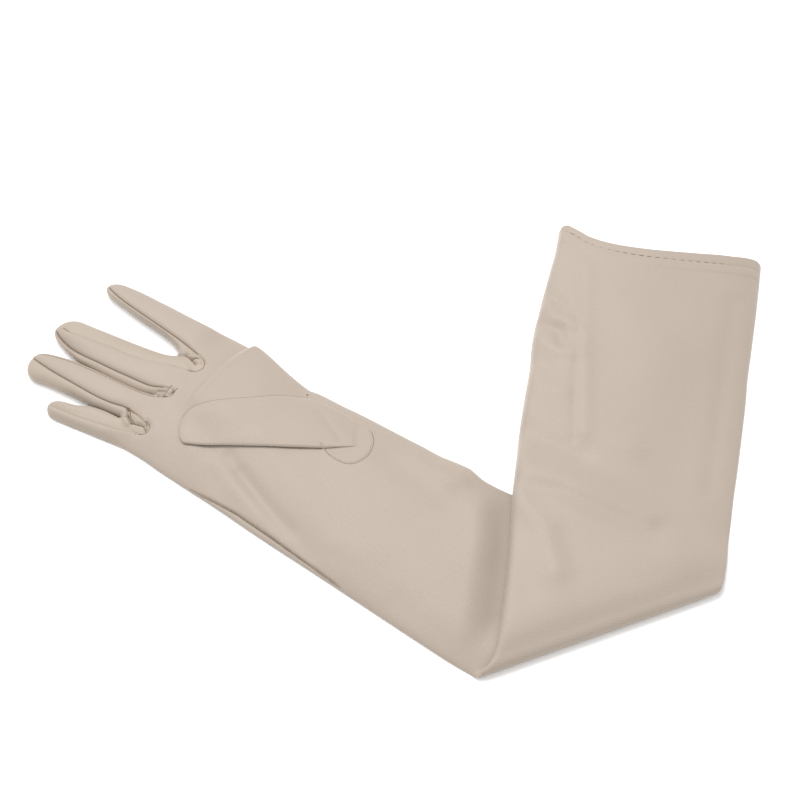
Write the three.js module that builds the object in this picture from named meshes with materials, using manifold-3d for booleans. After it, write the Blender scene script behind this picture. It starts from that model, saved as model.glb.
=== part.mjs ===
// Long evening glove, palm up, with its thumb laid over the palm and its sleeve folded back at the elbow.
// Lengths are in millimetres and angles in degrees. The floor is z = 0.
import * as THREE from "three";
import { mergeVertices } from "three/addons/utils/BufferGeometryUtils.js";
import Module from "manifold-3d";

const { lerp, clamp, smoothstep, degToRad } = THREE.MathUtils;
const wasm = await Module();
wasm.setup();

// Cloth and clearances
const wall = 1;
const seamGap = 0.3;
const layerGap = 0.7;
const thumbGap = 0.6;

// Sleeve, measured on the flat glove from the knuckle line to the mouth
const sleeveLength = 478;
const knuckleWidth = 82.5;
const wristWidth = 85;
const elbowWidth = 96;
const mouthWidth = 110;
const wristDistance = 90;
const underDepth = 2.4;
const palmLoft = 5;
const mouthLoft = 7.6;
const edgeRound = 6;
const sideDip = 0.16;
const mouthStart = 0.85;

// Elbow fold, and how the glove is turned on the floor
const elbowDistance = 237.3;
const elbowSlant = 33.8;
const armTurn = -34.7;
const pressStart = 2;
const pressReach = 38;
const dropReach = 34;
const loftReach = 2 * elbowWidth;
const foldReach = 60;

// Web of the thumb: a raised fold in the palm behind the index finger
const webRise = 2.6;
const webBulge = 2.2;
const webDistance = 10;
const webLength = 54;
const webFull = 0.35;
const webSteep = 2.5;
const webBow = 4;
const webMiddle = 0.45;

// Fingers
const indexLength = 74.5;
const middleLength = 78;
const ringLength = 75;
const littleLength = 48;
const fingerUnder = 2.6;
const fingerLoft = 6;
const baseLoft = 0.95 * palmLoft;
const baseReach = 0.4;
const forkSetback = 1.5;

// Thumb: the oval it is sewn into, and the tube laid over the palm
const ovalDistance = 72;
const ovalOffset = 22.5;
const ovalLength = 60;
const ovalWidth = 28;
const thumbTurn = 31.8;
const thumbReach = [20, 21];
const thumbLength = 48;
const thumbWidth = 31;
const thumbLoft = 6.4;
const thumbUnder = 0.35;
const thumbBulge = 2;
const thumbTip = { past: 0.5, side: -0.13, loft: 0.5 };

// Hem turned in at the mouth
const hemDepth = 12;

// How square the sections are: powers of the cosine and sine, where 1 is an ellipse
const fingerSquare = { side: 0.8, top: 0.8, under: 0.5 };
const thumbSquare = { side: 0.8, top: 0.7, under: 0.5 };
const ovalSquare = 0.75;

// Width of the flat sleeve; at is a share of sleeveLength
const sleeveTable = [
  { at: 0, width: knuckleWidth },
  { at: wristDistance / sleeveLength, width: wristWidth },
  { at: 0.35, width: lerp(wristWidth, elbowWidth, 0.46) },
  { at: elbowDistance / sleeveLength, width: elbowWidth },
  { at: 0.74, width: lerp(elbowWidth, mouthWidth, 0.86) },
  { at: 1, width: mouthWidth },
];

// How the little finger's edge swings out past the fold; at is a share of sleeveLength, out of elbowWidth
const swingTable = [
  { at: 0.43, out: 0 },
  { at: 0.475, out: -0.05 },
  { at: 0.54, out: -0.045 },
  { at: 0.58, out: -0.034 },
  { at: 0.64, out: -0.006 },
  { at: 0.72, out: 0.016 },
  { at: 0.88, out: 0.018 },
  { at: 1, out: 0 },
];

// Cut of the mouth across its width, from -1 on the little finger's side to 1; long is a share of mouthWidth
const mouthTable = [
  { at: -1, long: 0.068 },
  { at: -0.84, long: 0.04 },
  { at: -0.68, long: 0.012 },
  { at: -0.4, long: 0 },
  { at: -0.1, long: 0.006 },
  { at: 0.5, long: 0.038 },
  { at: 0.8, long: 0.048 },
  { at: 1, long: 0.03 },
];

// Soft folds pressed into the upper layer: ends as shares of sleeveLength and of half the width there,
// rise and reach as shares of palmLoft and wristWidth
const foldTable = [
  { from: [0.09, -0.4], to: [0.24, -0.84], rise: -0.24, reach: 0.09 },
  { from: [0.13, 0.1], to: [0.3, -0.3], rise: 0.08, reach: 0.16 },
  { from: [0.62, -0.62], to: [0.93, -0.66], rise: 0.14, reach: 0.1 },
  { from: [0.66, -0.86], to: [0.9, -0.84], rise: -0.12, reach: 0.07 },
  { from: [0.6, 0.8], to: [0.95, 0.74], rise: -0.1, reach: 0.1 },
];

// Tuck along the little finger's edge, where the upper layer is folded back from the lower one
const tuck = { from: 0.1, to: 0.28, depth: 0.42, inner: 0.84, outer: 0.93, ends: 0.03 };

// Fingers from the index side: share of the knuckle line, width half way up, and sideways lean of the tip
const fingerTable = [
  { name: "index_finger", length: indexLength, share: 0.267, width: 0.195, lean: 0.05 },
  { name: "middle_finger", length: middleLength, share: 0.273, width: 0.27, lean: -0.122 },
  { name: "ring_finger", length: ringLength, share: 0.275, width: 0.225, lean: -0.118 },
  { name: "little_finger", length: littleLength, share: 0.185, width: 0.165, lean: -0.085 },
];

// Taper of a finger from its base to its tip; width and depth are shares of its own
const fingerTaper = [
  { at: 0, width: 1, depth: 1 },
  { at: 0.3, width: 1, depth: 1.06 },
  { at: 0.6, width: 0.96, depth: 1 },
  { at: 0.8, width: 0.86, depth: 0.92 },
  { at: 0.91, width: 0.68, depth: 0.78 },
  { at: 0.97, width: 0.44, depth: 0.6 },
];

// Edges and loft of the thumb from its root to its tip; low and high are shares of thumbWidth
const thumbTable = [
  { at: 0, low: -0.5, high: 0.5, loft: 1 },
  { at: 0.3, low: -0.5, high: 0.44, loft: 1 },
  { at: 0.6, low: -0.5, high: 0.35, loft: 0.96 },
  { at: 0.8, low: -0.49, high: 0.28, loft: 0.88 },
  { at: 0.92, low: -0.42, high: 0.17, loft: 0.72 },
  { at: 0.98, low: -0.3, high: 0.05, loft: 0.5 },
];

// Mesh density
const flatColumns = 7;
const edgeColumns = [0.12, 0.45, 1];
const webRows = [0, 0.5, 0.95, 1.14, 1.34, 1.8];
const handRows = { start: 2.6, count: 6 };
const forearmRows = 11;
const foldClear = 7;
const foldSteps = 6;
const upperArmRows = 15;
const fingerSides = 20;
const fingerRows = [0, 0.12, 0.25, 0.4, 0.56, 0.7, 0.8, 0.87, 0.92, 0.955, 0.98];
const forkSides = 4;
const forkLastRow = 8;
const thumbSides = 24;
const thumbBlend = [0.2, 0.45, 0.75];

const foldRadius = underDepth + layerGap / 2;
const slope = Math.tan(degToRad(elbowSlant));
const slantCos = Math.cos(degToRad(elbowSlant));
const slantSin = Math.sin(degToRad(elbowSlant));

// Value of one column of a table at a share along it
function tableAt(table, column, at) {
  const next = table.findIndex((row) => row.at >= at);
  if (next === 0) return table[0][column];
  if (next < 0) return table[table.length - 1][column];
  const [a, b] = [table[next - 1], table[next]];
  return lerp(a[column], b[column], (at - a.at) / (b.at - a.at));
}

function sleeveWidth(s) {
  return tableAt(sleeveTable, "width", s / sleeveLength);
}

// How far behind the ridge of the thumb's web a point is, as 1 inside the web and 0 clear of it
function webSpan(s, ridge) {
  const end = smoothstep(s, ridge + webFull * webLength, ridge + webLength);
  return smoothstep(s, ridge, ridge + webSteep) * (1 - end);
}

// A side edge of the flat sleeve: side is -1 on the little finger's side and 1 on the index finger's
function sleeveEdge(s, side) {
  const swing = tableAt(swingTable, "out", s / sleeveLength) * elbowWidth;
  const out = side < 0 ? swing : webBulge * webSpan(s, webDistance);
  return side * (sleeveWidth(s) / 2 + out);
}

// How far a point of the flat sleeve lies past the elbow fold
function pastFold(s, q) {
  return (s - elbowDistance) * slantCos - q * slantSin;
}

// Moves a point of the flat sleeve across the fold line by a distance
function movedAcross(s, q, distance) {
  return [s + distance * slantCos, q - distance * slantSin];
}

// Distance from a point to a stretch of straight line
function distanceTo(s, q, from, to) {
  const length = Math.hypot(to[0] - from[0], to[1] - from[1]);
  const share = ((s - from[0]) * (to[0] - from[0]) + (q - from[1]) * (to[1] - from[1])) / length ** 2;
  const near = clamp(share, 0, 1);
  return Math.hypot(s - lerp(from[0], to[0], near), q - lerp(from[1], to[1], near));
}

// Height that the soft folds add to the upper layer
function softFolds(s, q) {
  const place = ([at, side]) => {
    const along = at * sleeveLength;
    return [along, (side * sleeveWidth(along)) / 2];
  };
  return foldTable.reduce((sum, fold) => {
    const away = distanceTo(s, q, place(fold.from), place(fold.to)) / (fold.reach * wristWidth);
    return sum + fold.rise * palmLoft * Math.exp(-away * away);
  }, 0);
}

// Raised web of the thumb, with a steep side towards the fingers
function web(s, q) {
  const across = q / (sleeveWidth(s) / 2);
  const ridge = webDistance + webBow * (across - webMiddle) ** 2;
  return webRise * webSpan(s, ridge) * smoothstep(across, -webMiddle, 0);
}

// Loft of the palm side of the cloth above its side edges
function palmSide(s, q) {
  if (pastFold(s, q) > 0) return underDepth;
  const [mirrorS, mirrorQ] = movedAcross(s, q, -2 * pastFold(s, q));
  const outside = sleeveEdge(mirrorS, -1) - mirrorQ;
  const free = smoothstep(outside, pressStart, pressReach);
  const across = q / (sleeveWidth(s) / 2);
  const along = s / sleeveLength;
  const fromMiddle = Math.abs(along - (tuck.from + tuck.to) / 2);
  const half = (tuck.to - tuck.from) / 2;
  const inTuck = 1 - smoothstep(fromMiddle, half - tuck.ends, half);
  const tucked = smoothstep(-across, tuck.inner, tuck.outer) * inTuck;
  const crown = palmLoft * (1 - sideDip * across * across) * (1 - tuck.depth * tucked);
  return lerp(underDepth, crown + softFolds(s, q) + web(s, q), free);
}

// Loft of the back of the hand's side, which faces up past the elbow
function backSide(s, q) {
  const past = pastFold(s, q) - Math.PI * foldRadius;
  if (past < 0) return underDepth;
  const across = q / (sleeveWidth(s) / 2);
  const along = smoothstep(past, 0, loftReach);
  const crown = lerp(underDepth, mouthLoft, along) * (1 - sideDip * across * across * along);
  return crown + softFolds(s, q) * smoothstep(past, 0, foldReach);
}

// Lays a point of the flat sleeve on the floor or round the fold: along and across in the forearm's frame,
// the height of the middle of the cloth tube there, and the angle turned round the fold
function laid(s, q) {
  const past = pastFold(s, q);
  const turn = clamp(past / foldRadius, 0, Math.PI);
  const out = past < 0 ? past : foldRadius * Math.sin(turn) - Math.max(0, past - Math.PI * foldRadius);
  const [along, across] = movedAcross(s, q, out - past);
  const beyond = across - sleeveEdge(along, 1);
  const drop = turn < Math.PI ? 0 : smoothstep(beyond, 0, dropReach);
  const height = underDepth + foldRadius * (1 - Math.cos(turn)) * (1 - drop);
  return { along, across, height, turn };
}

// World position of a point in the forearm's frame
function onFloor(along, across, height) {
  const turn = degToRad(armTurn);
  return new THREE.Vector3(
    along * Math.cos(turn) - across * Math.sin(turn),
    along * Math.sin(turn) + across * Math.cos(turn),
    height,
  );
}

// Quarter round of the side edges, from 0 at the edge to 1 past it
function rounded(inFromEdge, reach) {
  const left = 1 - clamp(inFromEdge / reach, 0, 1);
  return Math.sqrt(1 - left * left);
}

// Points of one section of the sleeve. A row crosses the sleeve at start and slants with the fold by its
// share
function sleeveSection({ start, slant }, inset) {
  const edgePoint = (side) => {
    let q = sleeveEdge(start, side);
    for (let pass = 0; pass < 5; pass += 1) q = sleeveEdge(start + q * slant * slope, side);
    return q;
  };
  const [low, high] = [edgePoint(-1), edgePoint(1)];
  const middle = (low + high) / 2;
  const half = (high - low) / 2 - inset;
  const reach = edgeRound - inset;
  const flat = half - reach;
  const ins = edgeColumns.map((share) => [-half + share * reach, share * reach]);
  const columns = [...ins];
  for (let i = 1; i <= flatColumns; i += 1) {
    columns.push([lerp(-flat, flat, i / (flatColumns + 1)), reach]);
  }
  columns.push(...ins.map(([q, inside]) => [-q, inside]).reverse());
  const point = ([offset, inside], face) => {
    const q = middle + offset;
    const cut = mouthWidth * tableAt(mouthTable, "long", q / (mouthWidth / 2));
    const s = start + q * slant * slope + cut * smoothstep(start, mouthStart * sleeveLength, sleeveLength);
    const depth = face < 0 ? backSide(s, q) : palmSide(s, q);
    const away = face * (depth - inset) * rounded(inside, reach);
    const { along, across, height, turn } = laid(s, q);
    const [alongOut, acrossOut] = movedAcross(along, across, -away * Math.sin(turn));
    return onFloor(alongOut, acrossOut, height + away * Math.cos(turn));
  };
  return [
    point([-half, 0], 1),
    ...columns.map((column) => point(column, -1)),
    point([half, 0], 1),
    ...columns.map((column) => point(column, 1)).reverse(),
  ];
}

// Rows of the sleeve from the knuckle line to the mouth
function sleeveRows() {
  const rows = webRows.map((share) => ({ start: share * webDistance, slant: 0 }));
  for (let i = 0; i < handRows.count; i += 1) {
    const start = lerp(handRows.start * webDistance, wristDistance, i / handRows.count);
    rows.push({ start, slant: 0 });
  }
  const lastBefore = elbowDistance - foldClear;
  for (let i = 0; i <= forearmRows; i += 1) {
    const share = i / forearmRows;
    rows.push({ start: lerp(wristDistance, lastBefore, share), slant: smoothstep(share, 0, 1) });
  }
  for (let i = 0; i <= foldSteps; i += 1) {
    const past = (i / foldSteps) * Math.PI * foldRadius;
    rows.push({ start: elbowDistance + past / slantCos, slant: 1 });
  }
  const firstAfter = elbowDistance + (Math.PI * foldRadius + foldClear) / slantCos;
  for (let i = 0; i <= upperArmRows; i += 1) {
    const share = i / upperArmRows;
    const slant = 1 - smoothstep(share, 0, mouthStart);
    rows.push({ start: lerp(firstAfter, sleeveLength, share), slant });
  }
  return rows;
}

// Turns triangle corners into one closed solid that faces outwards
function solidFrom(corners) {
  const flat = new Float32Array(corners.flatMap((corner) => [corner.x, corner.y, corner.z]));
  const geometry = new THREE.BufferGeometry();
  geometry.setAttribute("position", new THREE.BufferAttribute(flat, 3));
  const merged = mergeVertices(geometry, 1e-4);
  const triVerts = new Uint32Array(merged.index.array);
  const vertProperties = merged.getAttribute("position").array;
  const volume = (order) => {
    const [a, b, c] = [new THREE.Vector3(), new THREE.Vector3(), new THREE.Vector3()];
    let sum = 0;
    for (let i = 0; i < order.length; i += 3) {
      a.fromArray(vertProperties, 3 * order[i]);
      b.fromArray(vertProperties, 3 * order[i + 1]);
      c.fromArray(vertProperties, 3 * order[i + 2]);
      sum += a.dot(b.cross(c));
    }
    return sum;
  };
  if (volume(triVerts) < 0) triVerts.reverse();
  return new wasm.Manifold(new wasm.Mesh({ numProp: 3, vertProperties, triVerts }));
}

// Collects the two triangles of a four-sided face, without a triangle that has no area
function addFace(corners, a, b, c, d) {
  const add = (p, q, r) => {
    const apart = p.distanceTo(q) > 1e-3 && q.distanceTo(r) > 1e-3 && r.distanceTo(p) > 1e-3;
    if (apart) corners.push(p, q, r);
  };
  add(a, b, c);
  add(a, c, d);
}

// Wall between an outer and an inner grid of points, rows along it and columns round or across it.
// open(row, column) leaves a cell out, and the wall is closed round the hole
function wallBetween(outer, inner, { round = true, open = () => false } = {}) {
  const rows = outer.length - 1;
  const columns = outer[0].length;
  const across = round ? columns : columns - 1;
  const kept = (i, j) => {
    if (i < 0 || i >= rows) return false;
    if (!round && (j < 0 || j >= across)) return false;
    return !open(i, (j + columns) % columns);
  };
  const corners = [];
  for (let i = 0; i < rows; i += 1) {
    for (let j = 0; j < across; j += 1) {
      if (!kept(i, j)) continue;
      const k = (j + 1) % columns;
      addFace(corners, outer[i][j], outer[i][k], outer[i + 1][k], outer[i + 1][j]);
      addFace(corners, inner[i][j], inner[i + 1][j], inner[i + 1][k], inner[i][k]);
      if (!kept(i - 1, j)) addFace(corners, outer[i][j], inner[i][j], inner[i][k], outer[i][k]);
      if (!kept(i + 1, j)) {
        addFace(corners, outer[i + 1][k], inner[i + 1][k], inner[i + 1][j], outer[i + 1][j]);
      }
      if (!kept(i, j - 1)) addFace(corners, outer[i + 1][j], inner[i + 1][j], inner[i][j], outer[i][j]);
      if (!kept(i, j + 1)) addFace(corners, outer[i][k], inner[i][k], inner[i + 1][k], outer[i + 1][k]);
    }
  }
  return solidFrom(corners);
}

// Closed ring: each row is one loop round it, and the last row meets the first
function ringOf(rows) {
  const corners = [];
  rows.forEach((row, i) => {
    const next = rows[(i + 1) % rows.length];
    row.forEach((point, j) => {
      const k = (j + 1) % row.length;
      addFace(corners, point, row[k], next[k], next[j]);
    });
  });
  return solidFrom(corners);
}

// Top of the palm's cloth at a point of the hand
function palmTop(s, q) {
  const inside = Math.min(q - sleeveEdge(s, -1), sleeveEdge(s, 1) - q);
  return underDepth + palmSide(s, q) * rounded(inside, edgeRound);
}

// A point of the oval that the thumb is sewn into, with a margin outside it
function ovalPoint(angle, margin) {
  const square = (value) => Math.sign(value) * Math.abs(value) ** ovalSquare;
  const [c, n] = [square(Math.cos(angle)), square(Math.sin(angle))];
  return [ovalDistance - (ovalLength / 2 + margin) * c, ovalOffset + (ovalWidth / 2 + margin) * n];
}

function handAndSleeve() {
  const rows = sleeveRows();
  const tube = wallBetween(
    rows.map((row) => sleeveSection(row, 0)),
    rows.map((row) => sleeveSection(row, wall)),
  );
  const loop = (height) => {
    const points = [];
    for (let i = 0; i < thumbSides; i += 1) {
      points.push(onFloor(...ovalPoint((2 * Math.PI * i) / thumbSides, 0), height));
    }
    return points;
  };
  const above = underDepth + palmLoft + webRise + wall;
  const [low, high] = [loop(underDepth), loop(above)];
  const centre = (height) => low.map(() => onFloor(ovalDistance, ovalOffset, height));
  const corners = [];
  const grid = [centre(underDepth), low, high, centre(above)];
  for (let i = 0; i < grid.length - 1; i += 1) {
    for (let j = 0; j < thumbSides; j += 1) {
      const k = (j + 1) % thumbSides;
      addFace(corners, grid[i][j], grid[i][k], grid[i + 1][k], grid[i + 1][j]);
    }
  }
  return tube.subtract(solidFrom(corners));
}

// Fingers with their places on the knuckle line
function placedFingers() {
  let edge = sleeveEdge(0, 1);
  return fingerTable.map((finger) => {
    const base = finger.share * knuckleWidth;
    const centre = edge - base / 2;
    edge -= base;
    return { ...finger, base: base - seamGap, centre };
  });
}

// A point on a finger: share along it, angle round it (0 on the index finger's side, 90 on top) and inset
function fingerPoint(finger, at, angle, inset) {
  const settled = smoothstep(at, 0, baseReach);
  const taper = tableAt(fingerTaper, "width", at);
  const width = lerp(finger.base, finger.width * knuckleWidth, settled) * taper;
  const depth = tableAt(fingerTaper, "depth", at);
  const under = lerp(underDepth, fingerUnder, settled) * depth;
  const loft = lerp(baseLoft, fingerLoft, settled) * depth;
  const lean = finger.lean * knuckleWidth * (1 - (1 - at) ** 2);
  const [c, n] = [Math.cos(angle), Math.sin(angle)];
  const { side, top, under: below } = fingerSquare;
  const across = finger.centre + lean + (width / 2 - inset) * Math.sign(c) * Math.abs(c) ** side;
  const up = n > 0 ? (loft - inset) * n ** top : -(under - inset) * Math.abs(n) ** below;
  return onFloor(-seamGap - at * finger.length, across, under + up);
}

// Columns of a finger's section that a fork on one side takes up, as angles from bottom to top
function forkAngles(side) {
  const middle = side > 0 ? 0 : Math.PI;
  const angles = [];
  for (let i = -forkSides / 2; i <= forkSides / 2; i += 1) {
    angles.push(middle + (side * i * 2 * Math.PI) / fingerSides);
  }
  return angles;
}

function fingerSheath(finger, forks) {
  const grid = (inset) => {
    const rows = fingerRows.map((at) => {
      const row = [];
      for (let i = 0; i < fingerSides; i += 1) {
        row.push(fingerPoint(finger, at, (2 * Math.PI * i) / fingerSides, inset));
      }
      return row;
    });
    const tip = fingerPoint({ ...finger, width: 0, base: 0 }, 1 - inset / finger.length, 0, 0);
    rows.push(rows[0].map(() => tip));
    return rows;
  };
  const half = forkSides / 2;
  const open = (i, j) => {
    if (i >= forkLastRow) return false;
    const side = (j + half) % fingerSides < forkSides ? 1 : 0;
    const other = (j + half + fingerSides / 2) % fingerSides < forkSides ? -1 : 0;
    return forks.includes(side) || forks.includes(other);
  };
  return wallBetween(grid(0), grid(wall), { open });
}

// Strip between two neighbouring fingers: down the side of one, round the crotch and up the side of the next
function fork(from, to) {
  const strip = (finger, side, inset) => {
    const starts = [forkSetback / finger.length, ...fingerRows.slice(1, forkLastRow + 1)];
    starts[starts.length - 1] -= seamGap / finger.length;
    return starts.map((at) => {
      const row = forkAngles(side).map((angle) => fingerPoint(finger, at, angle, inset));
      const pull = (edge, next) => edge.clone().lerp(next, seamGap / edge.distanceTo(next));
      const [first, last] = [pull(row[0], row[1]), pull(row[forkSides], row[forkSides - 1])];
      return [first, ...row.slice(1, forkSides), last];
    });
  };
  const bend = (inset) => {
    const a = strip(from, -1, 0)[0];
    const b = strip(to, 1, 0)[0];
    return a.map((point, i) => {
      const middle = point.clone().lerp(b[i], 0.5);
      return middle.add(onFloor(inset + (forkSetback - seamGap - wall) / 2, 0, 0));
    });
  };
  const grid = (inset) => [...strip(from, -1, inset).reverse(), bend(inset), ...strip(to, 1, inset)];
  return wallBetween(grid(0), grid(wall), { round: false });
}

// The thumb: its open base stands in the oval, and its tube is laid over the palm
function thumb() {
  const turn = degToRad(thumbTurn);
  const ahead = [-Math.cos(turn), -Math.sin(turn)];
  const aside = [-Math.sin(turn), Math.cos(turn)];
  const root = [ovalDistance + thumbReach[0] * ahead[0], ovalOffset + thumbReach[1] * ahead[1]];
  const angles = [];
  for (let i = 0; i < thumbSides; i += 1) angles.push((2 * Math.PI * i) / thumbSides);
  const seat = (rise, inset, settle) =>
    angles.map((angle) => {
      const [s, q] = ovalPoint(angle, -seamGap - inset);
      return [s, q, palmTop(s, q) + rise - settle * inset * clamp(3 * Math.sin(angle) + 1, -1, 1)];
    });
  const tube = ({ at, low, high, loft }, inset) =>
    angles.map((angle) => {
      const [c, n] = [Math.cos(angle), Math.sin(angle)];
      const middle = ((low + high) / 2) * thumbWidth;
      const half = ((high - low) / 2) * thumbWidth - inset;
      const v = middle + half * Math.sign(c) * Math.abs(c) ** thumbSquare.side;
      const u = at * thumbLength;
      const [s, q] = [root[0] + u * ahead[0] + v * aside[0], root[1] + u * ahead[1] + v * aside[1]];
      const under = thumbUnder * loft * thumbLoft;
      const over = loft * thumbLoft - under;
      const rise = (over - inset) * Math.abs(n) ** thumbSquare.top;
      const up = n > 0 ? rise : -(under - inset) * Math.abs(n) ** thumbSquare.under;
      return [s, q, palmTop(s, q) + thumbGap + under + up];
    });
  const blend = (a, b, share) =>
    a.map((point, i) => {
      const bulge = thumbBulge * Math.sin(Math.PI * share) * Math.max(0, Math.sin(angles[i]));
      const [s, q, height] = point.map((value, axis) => lerp(value, b[i][axis], share));
      return [s, q, height + bulge];
    });
  const grid = (inset) => {
    const base = seat(thumbGap, inset, 1);
    const first = tube(thumbTable[0], inset);
    const rings = [seat(-wall, inset, 0), base, ...thumbBlend.map((share) => blend(base, first, share))];
    rings.push(...thumbTable.map((row) => tube(row, inset)));
    const { past, side, loft } = thumbTip;
    const tip = tube({ at: 1 + (past - inset) / thumbLength, low: side, high: side, loft }, 0)[0];
    rings.push(angles.map(() => tip));
    return rings.map((ring) => ring.map((point) => onFloor(...point)));
  };
  return wallBetween(grid(0), grid(wall));
}

// The hem: cloth folded over the mouth's edge and turned in along the inner face
function mouthHem() {
  const inner = wall + seamGap;
  const edge = sleeveLength + seamGap;
  const profile = [
    { start: edge, inset: 0 },
    { start: edge + wall, inset: 0 },
    { start: edge + wall, inset: inner + wall },
    { start: sleeveLength - hemDepth, inset: inner + wall },
    { start: sleeveLength - hemDepth, inset: inner },
    { start: edge, inset: inner },
  ];
  return ringOf(profile.map(({ start, inset }) => sleeveSection({ start, slant: 0 }, inset)));
}

function meshOf(name, solid, colour) {
  const { vertProperties, triVerts } = solid.getMesh();
  const geometry = new THREE.BufferGeometry();
  geometry.setAttribute("position", new THREE.BufferAttribute(new Float32Array(vertProperties), 3));
  geometry.setIndex(new THREE.BufferAttribute(new Uint32Array(triVerts), 1));
  geometry.computeVertexNormals();
  const material = new THREE.MeshStandardMaterial({ color: colour, roughness: 0.5, metalness: 0 });
  const mesh = new THREE.Mesh(geometry, material);
  mesh.name = name;
  return mesh;
}

const satin = 0xd2c3b1;
const shadedSatin = 0xc4b29c;
const glove = new THREE.Group();
glove.add(meshOf("hand_and_sleeve", handAndSleeve(), satin));
const fingers = placedFingers();
fingers.forEach((finger, i) => {
  const forks = [];
  if (i > 0) forks.push(1);
  if (i < fingers.length - 1) forks.push(-1);
  glove.add(meshOf(finger.name, fingerSheath(finger, forks), satin));
});
for (let i = 0; i < fingers.length - 1; i += 1) {
  const name = `${fingers[i].name}_${fingers[i + 1].name}`.replaceAll("_finger", "");
  glove.add(meshOf(`${name}_fork`, fork(fingers[i], fingers[i + 1]), shadedSatin));
}
glove.add(meshOf("thumb", thumb(), satin));
glove.add(meshOf("mouth_hem", mouthHem(), satin));

// The origin is under the middle of the glove, on the floor
const box = new THREE.Box3().setFromObject(glove);
const middle = box.getCenter(new THREE.Vector3());
glove.position.set(-middle.x, -middle.y, -box.min.z);

export default glove;
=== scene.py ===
import math

import bpy
import numpy as np
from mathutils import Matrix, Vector


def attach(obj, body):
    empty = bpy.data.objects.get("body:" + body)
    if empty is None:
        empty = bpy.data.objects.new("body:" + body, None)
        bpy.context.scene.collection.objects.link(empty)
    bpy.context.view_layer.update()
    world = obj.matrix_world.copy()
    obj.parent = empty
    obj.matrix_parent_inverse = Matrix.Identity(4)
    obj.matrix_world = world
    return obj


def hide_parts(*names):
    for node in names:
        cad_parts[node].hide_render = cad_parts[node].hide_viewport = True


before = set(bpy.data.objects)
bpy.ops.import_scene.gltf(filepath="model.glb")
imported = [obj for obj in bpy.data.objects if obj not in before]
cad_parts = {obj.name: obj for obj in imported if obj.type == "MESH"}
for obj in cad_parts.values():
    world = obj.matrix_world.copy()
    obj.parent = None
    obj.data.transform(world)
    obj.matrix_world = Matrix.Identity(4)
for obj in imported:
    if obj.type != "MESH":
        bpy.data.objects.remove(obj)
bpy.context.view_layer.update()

bl_info = {
    "name": "Evening glove",
    "version": (1, 0, 0),
    "blender": (4, 5, 0),
    "location": "View3D > Sidebar > Glove",
    "description": "Builds a long satin evening glove that lies folded at the elbow",
    "category": "Add Mesh",
}

MM = 0.001


# ---------------------------------------------------------------- the flat glove, in millimetres
# Places on the sleeve: along runs from the knuckle line towards the mouth, across is positive on the
# index finger's side. Places on a finger: out runs from the knuckle line towards the tip.

SLEEVE_WIDTHS = ((0, 82.5), (90, 85), (167.3, 90.06), (237.3, 96), (353.7, 108.04), (478, 110))
EDGE_SWING = ((0, -1.6), (12, -1.9), (20, -1.4), (37, -1.0), (53, -0.8), (65, -0.5), (77, 0.0), (100, 0.4),
              (150, 0.4), (190, 0.2), (205.5, -0.2), (227, -4.8), (247, -4.9), (265, -4.8), (286, -4.0),
              (309, -2.8), (322, -2.5), (334, -2.1), (343, -1.6), (352, -1.2), (370, -0.7), (388, -0.4),
              (397, 0.35), (406, 1.1), (415, 1.2), (424, 0.8), (434, 0.5), (443, 0.0), (452, -0.5),
              (462, -1.2), (471, -1.2), (478, -1.0))
WEB_SWING = ((0, 3.0), (10.5, 3.1), (12.5, 3.2), (14.5, 4.6), (17, 4.5), (23, 3.4), (32, 1.3), (40, -0.4),
             (50, -2.0), (53.5, -2.3), (57, -1.5), (62, -1.0), (72, -0.8), (88, -0.1), (120, 0), (129, -0.2),
             (137, 0.6), (145, 1.1), (150, -0.1), (155, -1.3), (163, -1.5), (175, -0.9), (200, 0), (254, 0),
             (265, 1.1), (276, 1.2), (285, 0.8), (295, 0.6), (305, 0.0), (319, -0.5), (335, -1.0), (350, -0.9),
             (390, -0.6), (405, -0.9), (425, -0.5), (455, 0), (478, -0.1))
WEB_LIFT = ((0, 0), (11, 0), (14.5, 2.4), (24, 2.2), (40, 1.2), (54, 0.3), (62, 0))
MOUTH_CUT = ((-1.0, 7.6), (-0.97, 9.0), (-0.92, 9.3), (-0.86, 7.6), (-0.78, 4.8), (-0.68, 1.3), (-0.54, -1.0),
             (-0.4, -2.2), (-0.26, -2.5), (-0.12, -2.4), (0.02, -1.9), (0.16, -1.1), (0.3, -0.05), (0.44, 1.2),
             (0.58, 2.9), (0.72, 4.6), (0.86, 7.2), (0.95, 8.4), (1.0, 7.6))

# Soft folds in the cloth that faces up: the points they pass, their rise and their reach
HAND_FOLDS = (
    (((48, -17.5), (62, -23), (83.5, -30.5), (97, -34), (113, -39)), -1.0, 3.8),
    (((58, -21.5), (62, -23), (83.5, -30.5), (97, -34)), -0.8, 3.6),
    (((22, -12), (40, -21), (52, -30)), -0.6, 5.5),
    (((44, -25), (61, -30.5), (80, -37)), 0.7, 4.0),
    (((56, -2), (80, -12), (117, -28)), 0.7, 7.5),
    (((62, 4), (143, -13)), 0.3, 14.0),
    (((100, -39), (150, -43)), 0.5, 5.0),
    (((124, 35), (146, 38)), 1.3, 7.0),
    (((150, 30), (160, 37)), -0.9, 5.0),
    (((112, 26), (130, 23), (150, 20)), -0.6, 7.0),
    (((150, 34), (176, 14)), 0.5, 8.0),
    (((2, -8), (30, -24)), 0.4, 6.0),
    (((4, 8), (20, -14)), -0.4, 6.0),
    (((22, 36), (45, 34)), 0.4, 5.0),
    (((160, -38), (196, -43)), -0.5, 6.0),
)
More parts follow.
